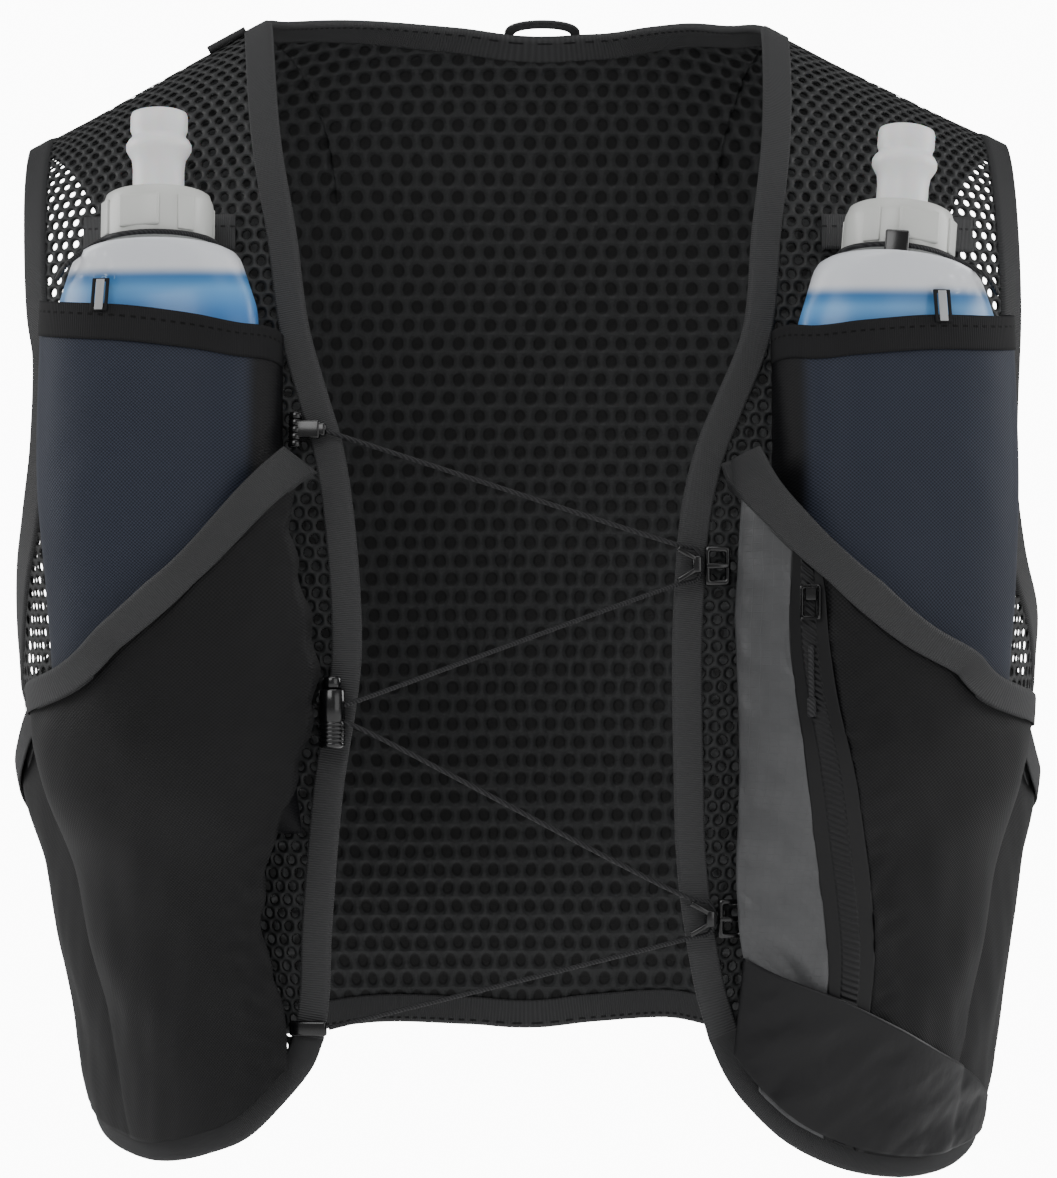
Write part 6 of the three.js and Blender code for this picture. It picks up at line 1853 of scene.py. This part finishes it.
@dataclass
class Lacing:
    """The lacing cord with its hook, guides, buckles, lock and anchor."""

    hook: tuple[float, float] = (0.412, 0.319)
    upper: tuple[float, float] = (0.3, 0.431)
    lower: tuple[float, float] = (0.324, 0.726)
    upper_buckle: tuple[float, float] = (0.352, 0.432)
    lower_buckle: tuple[float, float] = (0.377, 0.727)
    lock: tuple[float, float] = (0.3625, 0.559)
    anchor: tuple[float, float] = (0.411, 0.82)
    standoff: float = 3.4
    lock_radius: float = 5.0
    lock_height: float = 22.0
    holes: tuple[float, float] = (5.0, -1.4)

    def lock_frame(self) -> Matrix:
        """Frame of the cord lock's middle, with its up axis upright."""
        matrix = tape_frame(Side.RIGHT, *self.lock)
        out = Vector(matrix.col[2][:3])
        out.z = 0
        out.normalize()
        up = Vector((0, 0, 1))
        return basis(up.cross(out), up, out, matrix.translation + out * (self.lock_radius + 0.7))

    def build(self, shop: Workshop) -> None:
        """Make the hardware and the cord through it."""
        hook = tape_frame(Side.RIGHT, *self.hook)
        ridge = [(0, 0), (2.2, 0), (2.6, 0.4), (2.6, 2.2), (2.2, 2.6), (0, 2.6)]
        barrel = Parts.merged(*(Parts.turned(ridge, -6.6 + step * 2.65, 24) for step in range(5)))
        bmesh.ops.translate(barrel, vec=(-4.6, 0, 2.9), verts=barrel.verts)
        block = Parts.merged(
            Parts.block((9.0, 7.0, 3.6), (0.4, 0, 3.2), 0.8),
            Parts.block((3.4, 5.0, 3.0), (5.4, 0, 3.2), 0.9),
        )
        shop.finish_mesh(
            "lace_hook", Parts.place(Parts.merged(barrel, block), hook), Look.HARDWARE, "lace_hook"
        )
        for level, place, beside in (
            ("upper", self.upper, self.upper_buckle), ("lower", self.lower, self.lower_buckle)
        ):
            self._guide(shop, level, tape_frame(Side.LEFT, *place))
            buckle = Parts.window((9.6, 14.6, 3.0), (0, 0, 1.9), 2.7, 0.7)
            bar = Parts.block((9.2, 2.0, 2.2), (0, 0, 2.4), 0.6)
            shop.finish_mesh(
                f"lace_buckle_{level}",
                Parts.place(Parts.merged(buckle, bar), tape_frame(Side.LEFT, *beside)),
                Look.HARDWARE, f"lace_buckle_{level}",
            )
        self._lock(shop)
        anchor = Parts.block((14.4, 5.7, 3.0), (0, 0, 2.0), 1.0)
        shop.finish_mesh(
            "lace_anchor", Parts.place(anchor, tape_frame(Side.RIGHT, *self.anchor)), Look.HARDWARE,
            "lace_anchor",
        )
        Cord("lacing_cord", "lacing_cord", self.route(), 0.9).build(shop)

    @staticmethod
    def _guide(shop: Workshop, level: str, matrix: Matrix) -> None:
        """Make a cord guide."""
        arms = []
        for turn, at in ((30, (-1.4, 3.9, 6.0)), (-30, (-1.4, -3.9, 6.0))):
            arm = Parts.block((8.6, 2.0, 1.8), (0, 0, 0), 0.6)
            move = Matrix.Translation(at) @ Matrix.Rotation(math.radians(-turn), 4, "Z")
            bmesh.ops.transform(arm, matrix=move, verts=arm.verts)
            arms.append(arm)
        nose = Parts.block((3.4, 6.4, 2.0), (2.4, 0, 6.0), 0.8)
        post = Parts.block((2.2, 5.2, 5.6), (2.0, 0, 3.2), 0.8)
        shop.finish_mesh(
            f"lace_guide_{level}", Parts.place(Parts.merged(*arms, nose, post), matrix), Look.HARDWARE,
            f"lace_guide_{level}",
        )

    def _lock(self, shop: Workshop) -> None:
        """Make the cord lock and its button."""
        half, radius = self.lock_height / 2, self.lock_radius
        outline = [(0, -half), (radius - 0.9, -half), (radius - 0.2, -half + 0.8)]
        groove = radius - 0.45
        for step in range(6):
            foot = -half + 1.2 + step * 1.5
            outline += [(radius, foot), (radius, foot + 0.8)]
            outline += [(groove, foot + 1.0), (groove, foot + 1.3)]
        outline += [
            (radius, -0.2), (radius, half - 0.5), (radius - 0.4, half), (radius - 1.1, half),
            (radius - 1.2, half - 4), (0, half - 4),
        ]
        shop.finish_mesh(
            "cord_lock_barrel", Parts.place(Parts.turned(outline), self.lock_frame()), Look.HARDWARE,
            "cord_lock_barrel",
        )
        reach = radius - 1.5
        button = [(0, 0), (reach, 0), (reach, 5.4), (reach - 0.5, 6.2), (0, 6.4)]
        shop.finish_mesh(
            "cord_lock_button", Parts.place(Parts.turned(button, half - 1.4), self.lock_frame()),
            Look.HARDWARE, "cord_lock_button", "lock_button",
        )

    def route(self) -> list[Vector]:
        """Points of the one cord, from the hook to the anchor."""
        lock = self.lock_frame()
        first, second = self.holes

        def turns(matrix: Matrix) -> list[Vector]:
            corners = ((-5, 7.5), (2.5, 5.5), (4.3, 0), (2.5, -5.5), (-5, -7.5))
            return [matrix @ Vector((x, y, self.standoff)) for x, y in corners]

        return [
            tape_frame(Side.RIGHT, *self.hook) @ Vector((7.4, -0.6, self.standoff)),
            *turns(tape_frame(Side.LEFT, *self.upper)),
            *(lock @ Vector(place) for place in (
                (9, first + 1.5, 0), (4, first, 0), (-6.2, first, 0), (-9, (first + second) / 2, 0.5),
                (-6.2, second, 0), (4, second, 0), (9, second - 1.5, 0),
            )),
            *turns(tape_frame(Side.LEFT, *self.lower)),
            tape_frame(Side.RIGHT, *self.anchor) @ Vector((8.4, 0.4, self.standoff)),
        ]


@dataclass
class Trim:
    """Zip slider and pull, hanger loop and shoulder tab."""

    slider: tuple[float, float] = (0.525, 0.46)
    pull: tuple[float, float] = (0.526, 0.523)

    def build(self, shop: Workshop) -> None:
        """Make the trim."""
        slider = Parts.merged(
            Parts.window((8.0, 13.0, 2.2), (0, -1.0, 1.9), 1.9, 0.7),
            Parts.block((4.6, 6.0, 1.6), (0, 2.6, 1.0), 0.6),
        )
        shop.finish_mesh(
            "zip_slider", Parts.place(slider, pocket_frame(Side.LEFT, *self.slider)),
            Look.HARDWARE, "zip_slider",
        )
        pull = Parts.merged(
            Parts.block((2.2, 25.0, 1.6), (0, 1.0, 1.4), 0.7),
            Parts.block((3.4, 7.5, 2.2), (0, -9.6, 1.5), 0.9),
        )
        shop.finish_mesh(
            "zip_pull", Parts.place(pull, pocket_frame(Side.LEFT, *self.pull)), Look.CORD, "zip_pull"
        )
        self._hanger(shop)
        self._tab(shop)

    @staticmethod
    def _hanger(shop: Workshop) -> None:
        """Make the loop at the back of the neck."""
        spot = TORSO_FORM.aim(Side.LEFT, 0.027, -0.035, behind=True)
        matrix = frame_on(lambda here: TORSO_FORM.skin(here, TAPE_OVER), spot)
        bm = bmesh.new()
        bmesh.ops.create_grid(bm, x_segments=40, y_segments=4, size=0.5)
        layer = bm.loops.layers.uv.new("Cloth")
        for face in bm.faces:
            for loop in face.loops:
                loop[layer].uv = ((loop.vert.co.x + 0.5) * 0.038, (loop.vert.co.y + 0.5) * 0.011)
        for vert in bm.verts:
            turn = math.pi * (vert.co.x + 0.5)
            rise = vert.co.y + 0.5
            x = -(15.0 - 3.6 * (1 - rise)) * math.cos(turn)
            y = (8.5 - 3.6 * (1 - rise)) * math.sin(turn) ** 0.6 - 2.0
            vert.co = Vector((x, y, 1.0))
        piece = shop.finish_mesh("hanger_loop", Parts.place(bm, matrix), Look.TAPE, "hanger_loop")
        solid = piece.modifiers.new("Thickness", "SOLIDIFY")
        solid.thickness, solid.offset = 1.2 * MM, 0.0
        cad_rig.sheet(piece, flat=(0.038, 0.0101), held="folded", rests_on=["collar_binding"], area=0.00014)

    @staticmethod
    def _tab(shop: Workshop) -> None:
        """Make the tab on the right shoulder."""
        low = TORSO_FORM.aim(Side.RIGHT, 0.54, -0.02)[0]
        high = TORSO_FORM.aim(Side.RIGHT, 0.61, -0.02)[0]
        Sheet(
            "shoulder_tab", "shoulder_tab", Look.TAPE, TORSO_FORM,
            lambda across, up: (lerp(low, high, across), lerp(15.0, 1.0, up)),
            lambda here, across, up: TAPE_OVER + 0.4, (12, 14), 2.6, held="folded",
            rests_on=("front_binding_right",), lengths=(14.0, 14.0),
        ).build(shop)


@dataclass
class Studio:
    """Pale floor and backdrop, soft lights and the camera of the photograph."""

    height: float = PICTURE[1] * PIXEL * MM
    lens: float = 250.0
    sensor: float = 36.0

    def build(self) -> None:
        """Make the floor, the lights and the camera."""
        self._sweep()
        self._lights()
        self._camera()

    @staticmethod
    def _sweep() -> None:
        """Make the floor that turns up into the backdrop."""
        bm = bmesh.new()
        bmesh.ops.create_grid(bm, x_segments=2, y_segments=120, size=0.5)
        for vert in bm.verts:
            along = (vert.co.y + 0.5) * 18.0
            bend = min(max(along - 14.0, 0.0), 1.5)
            turn = bend / 1.5 * math.pi / 2
            radius = 1.5 * 2 / math.pi
            y = -7.0 + min(along, 14.0) + radius * math.sin(turn)
            z = -0.75 + radius * (1 - math.cos(turn)) + max(along - 15.5, 0.0)
            vert.co = Vector((vert.co.x * 14.0, y, z))
        mesh = bpy.data.meshes.new("Backdrop")
        bm.to_mesh(mesh)
        bm.free()
        mesh.shade_smooth()
        material = bpy.data.materials.new("Pale backdrop")
        material.use_nodes = True
        shader = material.node_tree.nodes["Principled BSDF"]
        shader.inputs["Base Color"].default_value = (0.92, 0.92, 0.92, 1.0)
        shader.inputs["Roughness"].default_value = 0.9
        shader.inputs["Emission Color"].default_value = (1.0, 1.0, 1.0, 1.0)
        graph = Graph(material.node_tree)
        seen = graph.add("ShaderNodeLightPath").outputs["Is Camera Ray"]
        graph.feed(shader.inputs["Emission Strength"], graph.math("MULTIPLY_ADD", seen, 11.0, 0.15))
        mesh.materials.append(material)
        floor = bpy.data.objects.new("Backdrop", mesh)
        bpy.context.collection.objects.link(floor)
        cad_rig.stage(floor)

    @staticmethod
    def _lights() -> None:
        """Make the soft lights and the sky."""
        world = bpy.data.worlds.new("Studio")
        bpy.context.scene.world = world
        world.use_nodes = True
        world.node_tree.nodes["Background"].inputs["Color"].default_value = (1.0, 1.0, 1.0, 1.0)
        world.node_tree.nodes["Background"].inputs["Strength"].default_value = 0.3
        aim_at = Vector((0.0, 0.0, -0.2))
        for name, at, size, power in (
            ("Key", (-0.7, -1.8, 1.1), 1.2, 17.0),
            ("Fill", (1.4, -1.5, 0.1), 1.4, 8.0),
            ("Left rim", (-1.6, 0.3, 0.3), 1.0, 15.0),
            ("Right rim", (1.6, 0.3, 0.3), 1.0, 15.0),
            ("Top", (0.0, -0.3, 1.6), 1.2, 10.0),
        ):
            light = bpy.data.lights.new(name, "AREA")
            light.shape = "SQUARE"
            light.size = size
            light.energy = power
            lamp = bpy.data.objects.new(name, light)
            lamp.location = at
            lamp.rotation_mode = "QUATERNION"
            lamp.rotation_quaternion = (aim_at - Vector(at)).to_track_quat("-Z", "Y")
            bpy.context.collection.objects.link(lamp)
            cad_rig.stage(lamp)

    def _camera(self) -> None:
        """Make the camera level with the picture's centre."""
        camera = bpy.data.cameras.new("Camera")
        camera.sensor_width = self.sensor
        camera.lens = self.lens
        distance = self.lens / self.sensor * self.height
        rig = bpy.data.objects.new("Camera", camera)
        rig.location = (0.0, -distance - 0.06, PICTURE_CENTRE * MM)
        rig.rotation_euler = (math.radians(90), 0.0, 0.0)
        bpy.context.collection.objects.link(rig)
        bpy.context.scene.camera = rig


def spread(corners: tuple[Vector, Vector]) -> list[list[float]]:
    """Lowest and highest corner as plain numbers."""
    return [list(map(float, corner)) for corner in corners]


def main() -> None:
    """Build the vest and its studio."""
    logging.basicConfig(level=logging.INFO, format="%(message)s")
    before = spread(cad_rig.bounds())
    shop = Workshop.open()
    shell = Shell()
    shell.build(shop)
    for side in Side:
        BottlePocket(side).build(shop)
    Flask(Side.RIGHT, 0.19).build(shop)
    Flask(Side.LEFT, 0.206).build(shop)
    LowerPockets({side: smooth_path(shell.front_hem(side), 90) for side in Side}).build(shop)
    Lacing().build(shop)
    Trim().build(shop)
    Studio().build()
    after = spread(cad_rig.bounds())
    with open("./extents.json", "w") as out:
        json.dump({"cad": before, "visual": after}, out)


if __name__ == "__main__":
    main()
